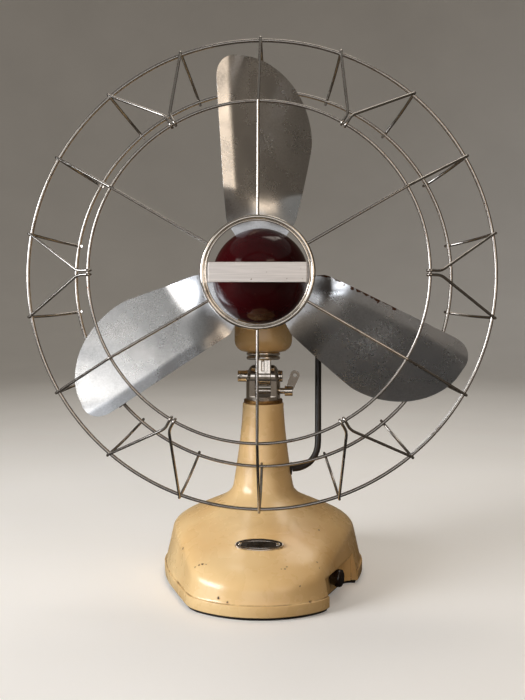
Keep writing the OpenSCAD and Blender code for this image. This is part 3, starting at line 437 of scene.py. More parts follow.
def specks(tree, coords, cell_mm, share, crowd_mm, crowd):
    """Ragged specks, one to a cell of that size, kept only where a broader pattern crowds them."""
    cell = cell_mm * MM
    shift = node(tree, "ShaderNodeTexNoise", {"Vector": coords, "Scale": 3 / cell}).outputs[1]
    ragged = node(
        tree, "ShaderNodeVectorMath", {0: shift, 1: (cell * 0.5,) * 3, 2: coords},
        operation="MULTIPLY_ADD",
    )
    cells = node(tree, "ShaderNodeTexVoronoi", {"Vector": ragged, "Scale": 1 / cell})
    near = node(
        tree, "ShaderNodeMapRange",
        {"Value": cells.outputs["Distance"], "From Min": share, "From Max": share * 0.75},
    )
    where = mottle(tree, coords, crowd_mm, crowd, crowd + 0.03, detail=1.0)
    return node(tree, "ShaderNodeMath", {0: near, 1: where}, operation="MULTIPLY")


def nearest_mark(tree, coords, marks):
    """Distance to the nearest of some ragged marks, as a share of that mark's radius."""
    grain, shift = 1.5 * MM, 2.2 * MM
    shake = node(tree, "ShaderNodeTexNoise", {"Vector": coords, "Scale": 1 / grain, "Detail": 2.0})
    centred = node(
        tree, "ShaderNodeVectorMath", {0: shake.outputs[1], 1: (0.5, 0.5, 0.5)}, operation="SUBTRACT"
    )
    ragged = node(
        tree, "ShaderNodeVectorMath", {0: centred, 1: (shift,) * 3, 2: coords},
        operation="MULTIPLY_ADD",
    )
    nearest = None
    for x, y, z, r in marks:
        spot = (x * MM, y * MM, z * MM)
        away = node(tree, "ShaderNodeVectorMath", {0: ragged, 1: spot}, operation="DISTANCE")
        inputs = {0: away.outputs["Value"], 1: r * MM}
        share = node(tree, "ShaderNodeMath", inputs, operation="DIVIDE")
        if nearest is not None:
            share = node(tree, "ShaderNodeMath", {0: share, 1: nearest}, operation="MINIMUM")
        nearest = share
    return nearest


# Finishes, each named for the real material

# Marks on the foot where enamel is missing: a point in millimetres and a radius
CHIPS = (
    (-61.9, -61.8, 36.9, 0.9), (-48.8, -93.2, 31.7, 0.68), (-45.7, -93.2, 33.3, 0.6),
    (-43, -93.4, 34.2, 0.75), (-40.1, -94.8, 34.3, 0.52), (18.1, -102.7, 34, 0.52),
    (20.7, -102.2, 34, 0.6), (22.2, -100.2, 34.8, 0.6), (47.2, -50.2, 50.1, 0.75),
    (-28.8, -115.4, 15.1, 0.9), (-21.8, -118.4, 12.9, 0.75), (39.7, -110.6, 11.4, 1),
    (45.5, -89.5, 35.3, 0.52), (47, -93.8, 32.3, 0.52), (32.2, -111.4, 23.9, 0.45),
)


def ivory_enamel(name, colours):
    # Stoved enamel on iron: glossy, a little uneven, yellowed in patches, with a broken line of
    # painted shade in the crease above the rim band and dark chips where the iron shows
    material, tree, shader, coords = surface(name)
    aged = mottle(tree, coords, 55, 0.38, 0.72)
    tone = node(
        tree, "ShaderNodeMix", {0: aged, 6: colours.ivory, 7: colours.ivory_old}, data_type="RGBA"
    ).outputs[2]
    # Painted shade: a broken dark line along the crease above the rim band
    crease = node(tree, "ShaderNodeAttribute", attribute_name="grime").outputs["Fac"]
    broken = mottle(tree, coords, 16, 0.36, 0.66, detail=4.0)
    crease_shade_mask = node(tree, "ShaderNodeMath", {0: crease, 1: broken}, operation="MULTIPLY")
    crease_shaded = node(
        tree, "ShaderNodeMix", {0: crease_shade_mask, 6: tone, 7: colours.grime}, data_type="RGBA"
    ).outputs[2]
    share = nearest_mark(tree, coords, CHIPS)
    halo = node(
        tree, "ShaderNodeMapRange", {"Value": share, "From Min": 1.7, "From Max": 1.0, "To Max": 0.6}
    )
    bare = node(tree, "ShaderNodeMapRange", {"Value": share, "From Min": 1.0, "From Max": 0.8})
    stained = node(
        tree, "ShaderNodeMix", {0: halo, 6: crease_shaded, 7: colours.rust}, data_type="RGBA"
    ).outputs[2]
    chipped = node(
        tree, "ShaderNodeMix", {0: bare, 6: stained, 7: colours.chip}, data_type="RGBA"
    ).outputs[2]
    haze = mottle(tree, coords, 18, 0.2, 0.9)
    gloss = node(tree, "ShaderNodeMapRange", {"Value": haze, "To Min": 0.2, "To Max": 0.36})
    rough = node(tree, "ShaderNodeMix", {0: bare, 2: gloss, 3: 0.7}, data_type="FLOAT")
    peel = mottle(tree, coords, 4, 0.2, 0.8, detail=1.0)
    wavy = node(tree, "ShaderNodeBump", {"Height": peel, "Distance": 0.05 * MM, "Strength": 0.5})
    fall = node(tree, "ShaderNodeMath", {0: 1.0, 1: bare}, operation="SUBTRACT")
    relief = node(
        tree, "ShaderNodeBump",
        {"Height": fall, "Distance": 0.3 * MM, "Strength": 0.8, "Normal": wavy},
    )
    feed(tree, shader, {
        "Base Color": chipped, "Roughness": rough, "Normal": relief,
        "Coat Weight": 0.2, "Coat Roughness": 0.1,
    })
    return material


def plated(name, colours, key, pit_mm, tarnish_low, rough_low, rough_high):
    """Worn plating on steel: bright, with tarnished patches and small rusty pits."""
    material, tree, shader, coords = surface(name)
    patch = mottle(tree, coords, 14, tarnish_low, tarnish_low + 0.28, detail=5.0, roughness=0.65)
    tone = node(
        tree, "ShaderNodeMix", {0: patch, 6: getattr(colours, key), 7: colours.tarnish},
        data_type="RGBA",
    ).outputs[2]
    pits = specks(tree, coords, pit_mm, 0.16, 9, 0.58)
    spotted = node(
        tree, "ShaderNodeMix", {0: pits, 6: tone, 7: colours.rust}, data_type="RGBA"
    ).outputs[2]
    rough = node(
        tree, "ShaderNodeMapRange", {"Value": patch, "To Min": rough_low, "To Max": rough_high}
    )
    fall = node(tree, "ShaderNodeMath", {0: 1.0, 1: pits}, operation="SUBTRACT")
    relief = node(tree, "ShaderNodeBump", {"Height": fall, "Distance": 0.12 * MM, "Strength": 0.7})
    feed(tree, shader, {
        "Base Color": spotted, "Metallic": 1.0, "Roughness": rough, "Normal": relief,
    })
    return material


def burgundy_enamel(name, colours):
    # Deep glossy enamel: clear reflections over a dark red, a faint ripple and a few specks of dust
    material, tree, shader, coords = surface(name)
    deep = mottle(tree, coords, 30, 0.3, 0.8)
    dark = darker(colours.burgundy, 0.55)
    tone = node(
        tree, "ShaderNodeMix", {0: deep, 6: colours.burgundy, 7: dark}, data_type="RGBA"
    ).outputs[2]
    dust = specks(tree, coords, 5, 0.07, 20, 0.5)
    dusty = node(
        tree, "ShaderNodeMix", {0: dust, 6: tone, 7: hex_colour("#6A4038")}, data_type="RGBA"
    ).outputs[2]
    smear = mottle(tree, coords, 22, 0.35, 0.85, detail=5.0)
    rough = node(tree, "ShaderNodeMapRange", {"Value": smear, "To Min": 0.08, "To Max": 0.2})
    ripple = mottle(tree, coords, 9, 0.2, 0.8, detail=1.0)
    relief = node(tree, "ShaderNodeBump", {"Height": ripple, "Distance": 0.05 * MM, "Strength": 0.4})
    feed(tree, shader, {
        "Base Color": dusty, "Roughness": rough, "Specular IOR Level": 0.24, "Normal": relief,
    })
    return material


def blade_aluminium(name, colours):
    # Old polished aluminium sheet: bright where it is rubbed, grey spangled oxide in patches,
    # shallow dents, and brown corrosion eating in from the edge that the worn attribute marks
    material, tree, shader, coords = surface(name)
    broad = mottle(tree, coords, 30, 0.3, 0.75, detail=4.0)
    spangle = node(tree, "ShaderNodeTexVoronoi", {"Vector": coords, "Scale": 1 / (1.1 * MM)})
    grain = node(tree, "ShaderNodeSeparateColor", {0: spangle.outputs["Color"]})
    grainy = node(tree, "ShaderNodeMapRange", {"Value": grain, "To Min": 0.55})
    mixed = node(tree, "ShaderNodeMath", {0: broad, 1: grainy}, operation="MULTIPLY")
    tone = node(
        tree, "ShaderNodeMix", {0: mixed, 6: colours.aluminium, 7: colours.dull}, data_type="RGBA"
    ).outputs[2]
    pits = specks(tree, coords, 3.2, 0.09, 18, 0.58)
    worn = node(tree, "ShaderNodeAttribute", attribute_name="worn").outputs["Fac"]
    ragged = mottle(tree, coords, 3.5, 0.25, 0.75, detail=4.0)
    both = node(tree, "ShaderNodeMath", {0: worn, 1: ragged}, operation="MULTIPLY")
    edges = node(tree, "ShaderNodeMapRange", {"Value": both, "From Min": 0.42, "From Max": 0.5})
    brown = node(tree, "ShaderNodeMath", {0: pits, 1: edges}, operation="MAXIMUM")
    corroded = node(
        tree, "ShaderNodeMix", {0: brown, 6: tone, 7: colours.nick}, data_type="RGBA"
    ).outputs[2]
    dull = node(tree, "ShaderNodeMapRange", {"Value": mixed, "To Min": 0.24, "To Max": 0.36})
    rough = node(tree, "ShaderNodeMix", {0: brown, 2: dull, 3: 0.75}, data_type="FLOAT")
    dents = mottle(tree, coords, 26, 0.2, 0.8, detail=2.0)
    wavy = node(tree, "ShaderNodeBump", {"Height": dents, "Distance": 0.35 * MM, "Strength": 0.35})
    fine = mottle(tree, coords, 1.4, 0.2, 0.8, detail=2.0)
    relief = node(
        tree, "ShaderNodeBump",
        {"Height": fine, "Distance": 0.01 * MM, "Strength": 0.3, "Normal": wavy},
    )
    feed(tree, shader, {
        "Base Color": corroded, "Metallic": 1.0, "Roughness": rough, "Normal": relief,
    })
    return material


def brushed_bar(name, colours):
    # Brushed aluminium strip: fine lines along its length, which stretch the highlights across it
    material, tree, shader, coords = surface(name)
    along = node(tree, "ShaderNodeMapping", {"Vector": coords, "Scale": (0.03, 1.0, 1.0)})
    lines = mottle(tree, along, 0.8, 0.25, 0.75, detail=4.0)
    dark = darker(colours.bar, 0.8)
    tone = node(
        tree, "ShaderNodeMix", {0: lines, 6: colours.bar, 7: dark}, data_type="RGBA"
    ).outputs[2]
    spots = specks(tree, coords, 3.5, 0.12, 12, 0.5)
    spotted = node(
        tree, "ShaderNodeMix", {0: spots, 6: tone, 7: colours.tarnish}, data_type="RGBA"
    ).outputs[2]
    rough = node(tree, "ShaderNodeMapRange", {"Value": lines, "To Min": 0.34, "To Max": 0.5})
    relief = node(tree, "ShaderNodeBump", {"Height": lines, "Distance": 0.02 * MM, "Strength": 0.6})
    feed(tree, shader, {
        "Base Color": spotted, "Metallic": 1.0, "Anisotropic": 0.5, "Roughness": rough,
        "Normal": relief,
    })
    return material


def plain_finish(name, colours, tint, dark, size_mm, rough, metallic=0.0, depth_mm=0.03):
    """Even finish with soft patches of tone, used where a surface has no pattern of its own."""
    material, tree, shader, coords = surface(name)
    colour = hex_colour(tint) if tint.startswith("#") else getattr(colours, tint)
    patch = mottle(tree, coords, size_mm, 0.3, 0.7, detail=5.0)
    tone = node(
        tree, "ShaderNodeMix", {0: patch, 6: colour, 7: hex_colour(dark)}, data_type="RGBA"
    ).outputs[2]
    gloss = node(
        tree, "ShaderNodeMapRange", {"Value": patch, "To Min": rough[0], "To Max": rough[1]}
    )
    fine = mottle(tree, coords, size_mm * 0.25, 0.2, 0.8, detail=2.0)
    relief = node(tree, "ShaderNodeBump", {"Height": fine, "Distance": depth_mm * MM, "Strength": 0.5})
    feed(tree, shader, {
        "Base Color": tone, "Metallic": metallic, "Roughness": gloss, "Normal": relief,
    })
    return material


# Name and maker of each finish, with what the maker needs besides the scene's colours
FINISHES = {
    "ivory": ("stoved ivory enamel", ivory_enamel),
    "burgundy": ("glossy burgundy enamel", burgundy_enamel),
    "blade": ("worn sheet aluminium", blade_aluminium),
    "bar": ("brushed aluminium strip", brushed_bar),
    # Bright plating with brown pits, as on the fork
    "nickel": ("pitted nickel plating", plated, "nickel", 2.0, 0.56, 0.13, 0.34),
    # Thin plating gone warm grey, brown in patches
    "wire": ("tarnished plated wire", plated, "wire", 2.6, 0.55, 0.22, 0.42),
    # Moulded resin: hard, black and glossy
    "bakelite": ("black bakelite", plain_finish, "black", "#2A1B13", 9, (0.16, 0.3)),
    # Stoved black enamel on a thin plate
    "black": ("stoved black enamel", plain_finish, "black", "#201A15", 6, (0.2, 0.38)),
    # Rubber covering, dull with a faint shine on its crown
    "rubber": ("black rubber covering", plain_finish, "rubber", "#2A221C", 5, (0.32, 0.5)),
    # Pressed wool felt, dark and matt
    "felt": ("dark wool felt", plain_finish, "felt", "#2B231C", 2.5, (0.9, 1.0), 0.0, 0.3),
    # Turned steel, oiled
    "steel": ("oiled turned steel", plain_finish, "#A8A49E", "#7E7870", 5, (0.26, 0.42), 1.0),
    # Blued iron, nearly black
    "iron": ("blued iron", plain_finish, "#4A433D", "#2E2823", 6, (0.38, 0.6), 1.0),
    "bronze": ("sintered bronze", plain_finish, "#A9814E", "#7D5C36", 3, (0.35, 0.5), 1.0),
    "copper": ("varnished copper wire", plain_finish, "#A65F36", "#6E3A20", 2, (0.3, 0.45), 1.0),
    "porcelain": ("glazed porcelain", plain_finish, "#E6E0D2", "#D5CCB8", 8, (0.15, 0.25)),
}


def finish_for(key):
    """The finish of that name, made once from the scene's colours."""
    name, maker, *values = FINISHES[key]
    return bpy.data.materials.get(name) or maker(name, bpy.context.scene.fan_colours, *values)


def seat_softened(*rows):
    """Softened pieces on their bodies: node, name, body, finish, slot and rounding in millimetres."""
    for node_name, name, body, finish, slot, round_mm in rows:
        seat(softened(node_name, name, finish_for(finish), round_mm), body, slot, node_name)


# Cast foot and column

COLUMN_POWER = 1.5
WALL_LEAN = 0.23
SHOULDER_ROUND = 14
FLARE_ROUND = 12
FLANK_CORNER = 4
EDGE_ROUND = 0.8
RIM_LIP = 1.2
SOCKET_R = 11.05
SOCKET_DEPTH = 26
OUTLINE_STEPS = 12
SIDES_ROUND = 160
WALL_ROWS = 44
COLUMN_ROWS = 24
ROW_POWER = 1.25
INNER_LIFT = 0.8
CREASE_DROP = 0.1
CREASE_REACH = 0.3
PLATE_SIDES = 96
PLATE_CLEAR = 0.1
FELT_SIDES = 240
LEAD_HOLE_Z = 90
LEAD_HOLE_R = 4.4
INLET_Z = 20
INLET_R = 5.15
INLET_FROM = 68

# The recess opens square to the right flank
RECESS_SIDE = -35
RECESS_D = 11.8
RECESS_BACK = 75.5
RECESS_W = 67
RECESS_TOP = 23.5
RECESS_ROUND = 9
RECESS_WALL = 2.05
KNOB_SIDE = -3
KNOB_Z = 15.5
KNOB_R = 7
KNOB_L = 9
KNOB_STAND = 1
KNOB_SHAFT_R = 2.5
KNOB_SHAFT_L = 11.7


def soft_min(a, b, k):
    """Smaller of two lengths, blended where they are within k of each other."""
    return min(a, b) - max(0.0, k - abs(a - b)) ** 2 / (4 * k)


def foot_r(base, a):
    """Reach of the foot's outline at an angle round the column."""
    span = 0.0
    for i in range(OUTLINE_STEPS + 1):
        t = i / OUTLINE_STEPS
        cy = lerp(-mm(base.front_reach), mm(base.rear_reach), t)
        r = lerp(mm(base.front_r), mm(base.rear_r), t)
        s = cy * math.sin(a)
        span = max(span, s + math.sqrt(max(0.0, r * r - cy * cy + s * s)))
    facing = max(0.1, math.cos(a + base.flank_turn), -math.cos(a - base.flank_turn))
    return soft_min(span, mm(base.flank_reach) / facing, FLANK_CORNER)


def column_r(base, z):
    top, foot = mm(base.top_z), mm(base.foot_z)
    share = clamp01((top - z) / (top - foot)) ** COLUMN_POWER
    return lerp(mm(base.top_r), mm(base.foot_r), share)


def shell_r(base, z, outline):
    """Reach of the casting's skin at a height: leaning wall, sloping top, flare, column."""
    top = (mm(base.top_peak_z) - z) / math.tan(base.top_slope)
    wall = outline - WALL_LEAN * max(0.0, z - mm(base.rim_top_z))
    foot = soft_min(top, wall, SHOULDER_ROUND)
    return -soft_min(-column_r(base, z), -foot, FLARE_ROUND)


def casting_rows(base):
    """Heights and steps out of the casting's outer skin, from its lower edge to its top."""
    skirt, rim = mm(base.skirt_z) + EDGE_ROUND, mm(base.rim_top_z)
    foot, top, proud = mm(base.foot_z), mm(base.top_z), mm(base.rim_proud)
    rows = [(z, proud + r - EDGE_ROUND) for r, z in arc(0, skirt, EDGE_ROUND, -90, 0, 4)]
    rows += [(lerp(skirt, rim - RIM_LIP, t), proud) for t in (0.5, 1)]
    rows += [(rim - RIM_LIP + 0.5, proud - 0.15), (rim - 0.35, 0.55), (rim, 0.12), (rim + 0.5, 0)]
    shares = [i / WALL_ROWS for i in range(1, WALL_ROWS + 1)]
    rows += [(lerp(rim, foot, 1 - (1 - t) ** ROW_POWER), 0) for t in shares]
    rows += [(lerp(foot, top - 1, i / COLUMN_ROWS), 0) for i in range(1, COLUMN_ROWS + 1)]
    rows += [(z, r - 1) for r, z in arc(0, top - 1, 1, 15, 90, 5)]
    return rows


def build_casting(base, material):
    angles = turns(SIDES_ROUND)
    outlines = [foot_r(base, a) for a in angles]
    wall, top, foot = mm(base.wall), mm(base.top_z), mm(base.foot_z)

    def ring(z, grow, lift=0.0):
        reaches = [shell_r(base, z + lift, outline) + grow for outline in outlines]
        return [ON_TABLE @ polar(r, a, z) for r, a in zip(reaches, angles)]

    def inner(z):
        return ring(z, -wall, INNER_LIFT * wall)

    rows = [ring(z, grow) for z, grow in casting_rows(base)]
    bottom = top - SOCKET_DEPTH
    rows += [[ON_TABLE @ polar(SOCKET_R, a, z) for a in angles] for z in (top, bottom)]
    rows += [inner(lerp(bottom, foot, i / 8)) for i in range(9)]
    rows += [inner(lerp(foot, mm(base.rim_top_z), i / 24) - wall) for i in range(1, 25)]
    rows += [inner(mm(base.skirt_z))]
    return piece("base_shell", closed(rows, loop=True), material)


def mark_crease(bm, base):
    """Attribute marking the crease above the rim band with 1, where a painted shade line goes."""
    layer = bm.verts.layers.float.new("grime")
    crease = base.rim_top_z - CREASE_DROP * MM
    for vert in bm.verts:
        vert[layer] = 1.0 if abs(vert.co.z - crease) < CREASE_REACH * MM else 0.0


def at_recess(base):
    turn = Matrix.Rotation(-base.flank_turn, 4, "Z")
    return ON_TABLE @ turn @ Matrix.Translation((0, RECESS_SIDE, 0))


def recess_space(base):
    """Closed shape of the recess and its liner, down through the foot."""
    half, r = RECESS_W / 2, RECESS_ROUND
    far = RECESS_BACK + 3 * RECESS_D
    plan = [(far, half + RECESS_WALL)]
    plan += arc(RECESS_BACK + r, half - r, r + RECESS_WALL, 90, 180, 10)
    plan += arc(RECESS_BACK + r, r - half, r + RECESS_WALL, 180, 270, 10)
    plan += [(far, -half - RECESS_WALL)]
    place = at_recess(base)
    heights = (-10, RECESS_TOP + RECESS_WALL)
    return closed([[place @ Vector((x, y, z)) for x, y in plan] for z in heights])


def front_slope(base):
    """Place of the oval plate: on the front slope, local Z standing out of it."""
    outline = foot_r(base, -math.pi / 2)
    z = mm(base.plate_z)
    rise = 3
    fall = shell_r(base, z - rise, outline) - shell_r(base, z + rise, outline)
    slope = math.atan2(2 * rise, fall)
    spot = (0, -shell_r(base, z, outline), z)
    return ON_TABLE @ Matrix.Translation(spot) @ Matrix.Rotation(slope, 4, "X")


def plate_rows(base, steps):
    """Rows of the oval plate's outline, one for each step out and up."""
    place = front_slope(base)
    half_l, half_h = mm(base.plate_l) / 2, mm(base.plate_h) / 2
    rows = []
    for grow, z in steps:
        rx, ry = half_l + grow, half_h + grow
        oval = [(rx * math.cos(a), ry * math.sin(a), z) for a in turns(PLATE_SIDES)]
        rows.append([place @ Vector(p) for p in oval])
    return rows


class FAN_OT_casting(bpy.types.Operator):
    """Cast foot and column, with its recess, seats and holes"""

    bl_idname = "fan.casting"
    bl_label = "Foot and column"

    def execute(self, context):
        base = context.scene.fan_base
        obj = build_casting(base, finish_for("ivory"))
        cut(obj, recess_space(base))
        cut(obj, closed(plate_rows(base, ((PLATE_CLEAR, -1), (PLATE_CLEAR, 8)))))
        for spot, turn, r, depth in (
            ((0, 0, LEAD_HOLE_Z), Matrix.Rotation(math.pi / 2, 4, "Y"), LEAD_HOLE_R, 60),
            ((0, INLET_FROM, INLET_Z), Matrix.Rotation(-math.pi / 2, 4, "X"), INLET_R, 40),
        ):
            profile = [(0, 0), (r, 0), (r, depth), (0, depth)]
            cut(obj, turned(profile, 32, ON_TABLE @ Matrix.Translation(spot) @ turn))
        bm = bmesh.new()
        bm.from_mesh(obj.data)
        bpy.data.objects.remove(obj)
        mark_crease(bm, base)
        done = piece("base_shell", bm, finish_for("ivory"), sharp=30)
        seat(done, "base", "ivory_enamel", "base_casting")
        return {"FINISHED"}


class FAN_OT_recess(bpy.types.Operator):
    """Liner of the switch recess and the knob in it"""

    bl_idname = "fan.recess"
    bl_label = "Switch recess"

    def execute(self, context):
        seat_softened(("switch_well", "recess_liner", "base", "ivory", "ivory_enamel", 0.5))
        place = at_recess(context.scene.fan_base)
        place = place @ Matrix.Translation((RECESS_BACK, KNOB_SIDE, KNOB_Z))
        place = place @ Matrix.Rotation(math.pi / 2, 4, "Y")
        r, foot, corner = KNOB_R, KNOB_R * 0.8, 0.3
        profile = [(0, -KNOB_SHAFT_L), (KNOB_SHAFT_R, -KNOB_SHAFT_L), (KNOB_SHAFT_R, KNOB_STAND)]
        profile += [(foot - corner, KNOB_STAND)]
        profile += arc(foot - corner, KNOB_STAND + corner, corner, -90, 0, 3)
        profile += [(r * 0.85, KNOB_STAND + 3), (r, KNOB_STAND + 5)]
        profile += arc(r - 2, KNOB_STAND + KNOB_L - 2, 2, 0, 90, 8) + [(0, KNOB_STAND + KNOB_L)]
        knob = piece("knob", turned(profile, 64, place), finish_for("bakelite"))
        seat(knob, "speed_knob", "black_bakelite", "speed_knob")
        return {"FINISHED"}


class FAN_OT_plate(bpy.types.Operator):
    """Oval plate on the front slope: a black field inside a bright raised edge"""

    bl_idname = "fan.plate"
    bl_label = "Oval plate"

    def execute(self, context):
        steps = ((0, -1), (0, 0.55), (-0.15, 0.75), (-0.35, 0.8), (-0.85, 0.8), (-1.05, 0.72),
                 (-1.15, 0.5), (-2.4, 0.48), (-2.5, 0.62), (-2.75, 0.62), (-2.85, 0.48))
        bright = {0, 1, 2, 3, 4, 7, 8, 9}
        bm = closed(plate_rows(context.scene.fan_base, steps))
        for i, face in enumerate(bm.faces):
            face.material_index = 1 if i // PLATE_SIDES in bright else 0
        plate = piece("oval_plate", bm, finish_for("black"), finish_for("nickel"))
        seat(plate, "base", "black_enamel", "nameplate")
        return {"FINISHED"}


class FAN_OT_felt(bpy.types.Operator):
    """Felt under the foot, with a soft cut edge"""

    bl_idname = "fan.felt"
    bl_label = "Felt"

    def execute(self, context):
        base = context.scene.fan_base
        top = mm(base.skirt_z)

        def edge(a, grow, z):
            fuzz = 0.18 * noise.noise(polar(70, a, 3 * z))
            return ON_TABLE @ polar(foot_r(base, a) + grow - 0.1 + min(0.1, fuzz), a, z)

        profile = ((-6, 0.0), (-1.4, 0.0), (-1.05, 0.25), (-1, 1.2), (-1.05, top - 0.15), (-6, top))
        rows = [[edge(a, grow, z) for a in turns(FELT_SIDES)] for grow, z in profile]
        felt = piece("felt_sole", closed(rows), finish_for("felt"))
        cut(felt, recess_space(base))
        seat(felt, "base", "felt", "felt_pad")
        return {"FINISHED"}


class FAN_OT_neck(bpy.types.Operator):
    """Collar, fork, tongue, swivel beads, pin, nut and clamp lever"""

    bl_idname = "fan.neck"
    bl_label = "Neck"

    def execute(self, context):
        seat_softened(
            ("column_collar", "collar", "base", "bronze", "bronze", 0.5),
            ("fork", "neck_fork", "base", "nickel", "bright_nickel", 0.6),
            ("tilt_pin", "tilt_pin_turned", "base", "nickel", "bright_nickel", 0.5),
            ("tilt_nut", "tilt_nut_turned", "base", "nickel", "bright_nickel", 0.6),
            ("clamp_lever", "clamp_lever_bent", "clamp_lever", "nickel", "bright_nickel", 0.35),
            ("tilt_tongue", "tongue", "tilt_block", "nickel", "bright_nickel", 0.5),
            ("swivel_bead", "upper_bead", "head", "nickel", "bright_nickel", 0.3),
        )
        return {"FINISHED"}


class FAN_OT_motor(bpy.types.Operator):
    """Motor housing, rear cover, gland, grommets and guard arms"""

    bl_idname = "fan.motor"
    bl_label = "Motor"

    def execute(self, context):
        seat_softened(
            ("motor_housing", "housing_shell", "head", "ivory", "ivory_enamel", 0.7),
            ("rear_cover", "cover_shell", "head", "ivory", "ivory_enamel", 0.5),
            ("lead_gland", "gland", "head", "rubber", "lead_rubber", 0.5),
            ("lead_grommet", "column_grommet", "base", "rubber", "lead_rubber", 0.3),
            ("mains_grommet", "inlet_grommet", "base", "rubber", "lead_rubber", 0.3),
            ("guard_arms", "arms", "head", "wire", "guard_wire", 0.4),
        )
        return {"FINISHED"}


# Wire guard

WELD = 0.15
BEAD_WIRE = 1.75
THIN_WIRE = 0.75
BEAD_STEP = 2.3
WRAP_END = 20
HOOK_FROM = 58
HOOK_TO = 205
STRUT_HOOK = -165
BOW_PULL = 0.42
BOW_STEPS = 18
STRUT_BEND_R = 136
STRUT_BEND_REACH = 4
STRUT_SPREAD = 10.2
STRUT_GAP = 3.2
SPOKE_TURN = math.radians(30)
WIRE_SIDES = 14


def heading(degrees):
    return Vector((math.cos(math.radians(degrees)), math.sin(math.radians(degrees))))


def guard_courses(guard):
    """Courses of a spoke and of a strut's two stretches: distance out and distance back."""
    reach = mm(guard.spoke_wire) - WELD
    front = (mm(guard.front_r), -mm(guard.front_y), mm(guard.front_wire) + reach)
    outer = (mm(guard.outer_r), -mm(guard.outer_y), mm(guard.ring_wire) + reach)
    rear = (mm(guard.rear_r), -mm(guard.rear_y), mm(guard.ring_wire) + reach)
    slope = math.degrees(math.atan2(outer[1] - front[1], outer[0] - front[0]))
    drop = front[1] + mm(guard.hub_y) - mm(guard.front_wire) - mm(guard.spoke_wire)
    inner_slope = math.degrees(math.atan2(drop, front[0] - mm(guard.hub_r)))
    front_wrap = arc(*front, inner_slope - 90, slope - 90, 10)
    outer_wrap = arc(*outer, slope - 90, WRAP_END, 14)
    rear_wrap = arc(*rear, HOOK_FROM, HOOK_TO, 18)
    p0, p3 = Vector(outer_wrap[-1]), Vector(rear_wrap[0])
    pull = BOW_PULL * (p3 - p0).length
    p1 = p0 + pull * heading(WRAP_END + 90)
    p2 = p3 - pull * heading(HOOK_FROM + 90)
    bow = []
    for i in range(1, BOW_STEPS):
        t = i / BOW_STEPS
        u = 1 - t
        bow.append(tuple(p0 * u**3 + p1 * 3 * t * u**2 + p2 * 3 * t * t * u + p3 * t**3))
    back = outer_wrap + bow + rear_wrap
    spoke = [(mm(guard.hub_r) - BEAD_WIRE, -mm(guard.hub_y))] + front_wrap + back
    hook = arc(*front, STRUT_HOOK, slope - 90, 16)
    last = Vector(hook[-1])
    bend = last + heading(slope) * (STRUT_BEND_R - last.x) / math.cos(math.radians(slope))
    return spoke, hook + [tuple(bend)], back


def on_axis(q, degrees, side):
    """A point of a course at an angle round the fan's axis, in the axis frame."""
    a = math.radians(degrees)
    x = q[0] * math.cos(a) - side * math.sin(a)
    up = q[0] * math.sin(a) + side * math.cos(a)
    return Vector((x, -up, q[1]))


def rounded_corner(points, index, reach, steps=6):
    """Replaces one corner of a path by a short curve."""
    corner = points[index]
    into = corner + (points[index - 1] - corner).normalized() * reach
    out = corner + (points[index + 1] - corner).normalized() * reach
    shares = [i / steps for i in range(steps + 1)]
    curve = [into * (1 - t) ** 2 + corner * 2 * t * (1 - t) + out * t * t for t in shares]
    return points[:index] + curve + points[index + 1 :]


def line_object(name, paths):
    """Object that holds paths as edges, for the wire tree to follow."""
    verts, edges = [], []
    for path in paths:
        first = len(verts)
        verts += [tuple(p * MM) for p in path]
        edges += [(first + i, first + i + 1) for i in range(len(path) - 1)]
    mesh = bpy.data.meshes.new(name)
    mesh.from_pydata(verts, edges, [])
    return new_object(name, mesh)


def new_tree(name, inputs):
    """Geometry tree with named inputs and one geometry output."""
    tree = bpy.data.node_groups.new(name, "GeometryNodeTree")
    for label, kind in inputs.items():
        tree.interface.new_socket(label, in_out="INPUT", socket_type="NodeSocket" + kind)
    tree.interface.new_socket("Geometry", in_out="OUTPUT", socket_type="NodeSocketGeometry")
    return tree, node(tree, "NodeGroupInput").outputs


def place_copies(tree, spots, shape, rotation, finish):
    """Ends a tree: real copies of a shape on points, in one finish."""
    inputs = {"Points": spots, "Instance": shape, "Rotation": rotation}
    copies = node(tree, "GeometryNodeInstanceOnPoints", inputs).outputs[0]
    real = node(tree, "GeometryNodeRealizeInstances", {"Geometry": copies}).outputs[0]
    inputs = {"Geometry": real, "Material": finish}
    finished = node(tree, "GeometryNodeSetMaterial", inputs).outputs[0]
    node(tree, "NodeGroupOutput", {"Geometry": finished})
    return tree


def wire_tree():
    """Wires along the edges of an object, repeated round the axis."""
    tree, given = new_tree("Wires round an axis", {
        "Course": "Object", "Wire radius": "Float", "Count": "Int", "First angle": "Float",
        "Finish": "Material",
    })
    course = node(tree, "GeometryNodeObjectInfo", {"Object": given["Course"]}).outputs["Geometry"]
    line = node(tree, "GeometryNodeMeshToCurve", {"Mesh": course})
    inputs = {"Resolution": WIRE_SIDES, "Radius": given["Wire radius"]}
    section = node(tree, "GeometryNodeCurvePrimitiveCircle", inputs)
    inputs = {"Curve": line, "Profile Curve": section, "Fill Caps": True}
    wire = node(tree, "GeometryNodeCurveToMesh", inputs)
    step = node(tree, "ShaderNodeMath", {0: 2 * math.pi, 1: given["Count"]}, operation="DIVIDE")
    index = node(tree, "GeometryNodeInputIndex")
    inputs = {0: index, 1: step, 2: given["First angle"]}
    turn = node(tree, "ShaderNodeMath", inputs, operation="MULTIPLY_ADD")
    angles = node(tree, "ShaderNodeCombineXYZ", {"Z": turn})
    spots = node(tree, "GeometryNodePoints", {"Count": given["Count"]})
    return place_copies(tree, spots, wire, angles, given["Finish"])


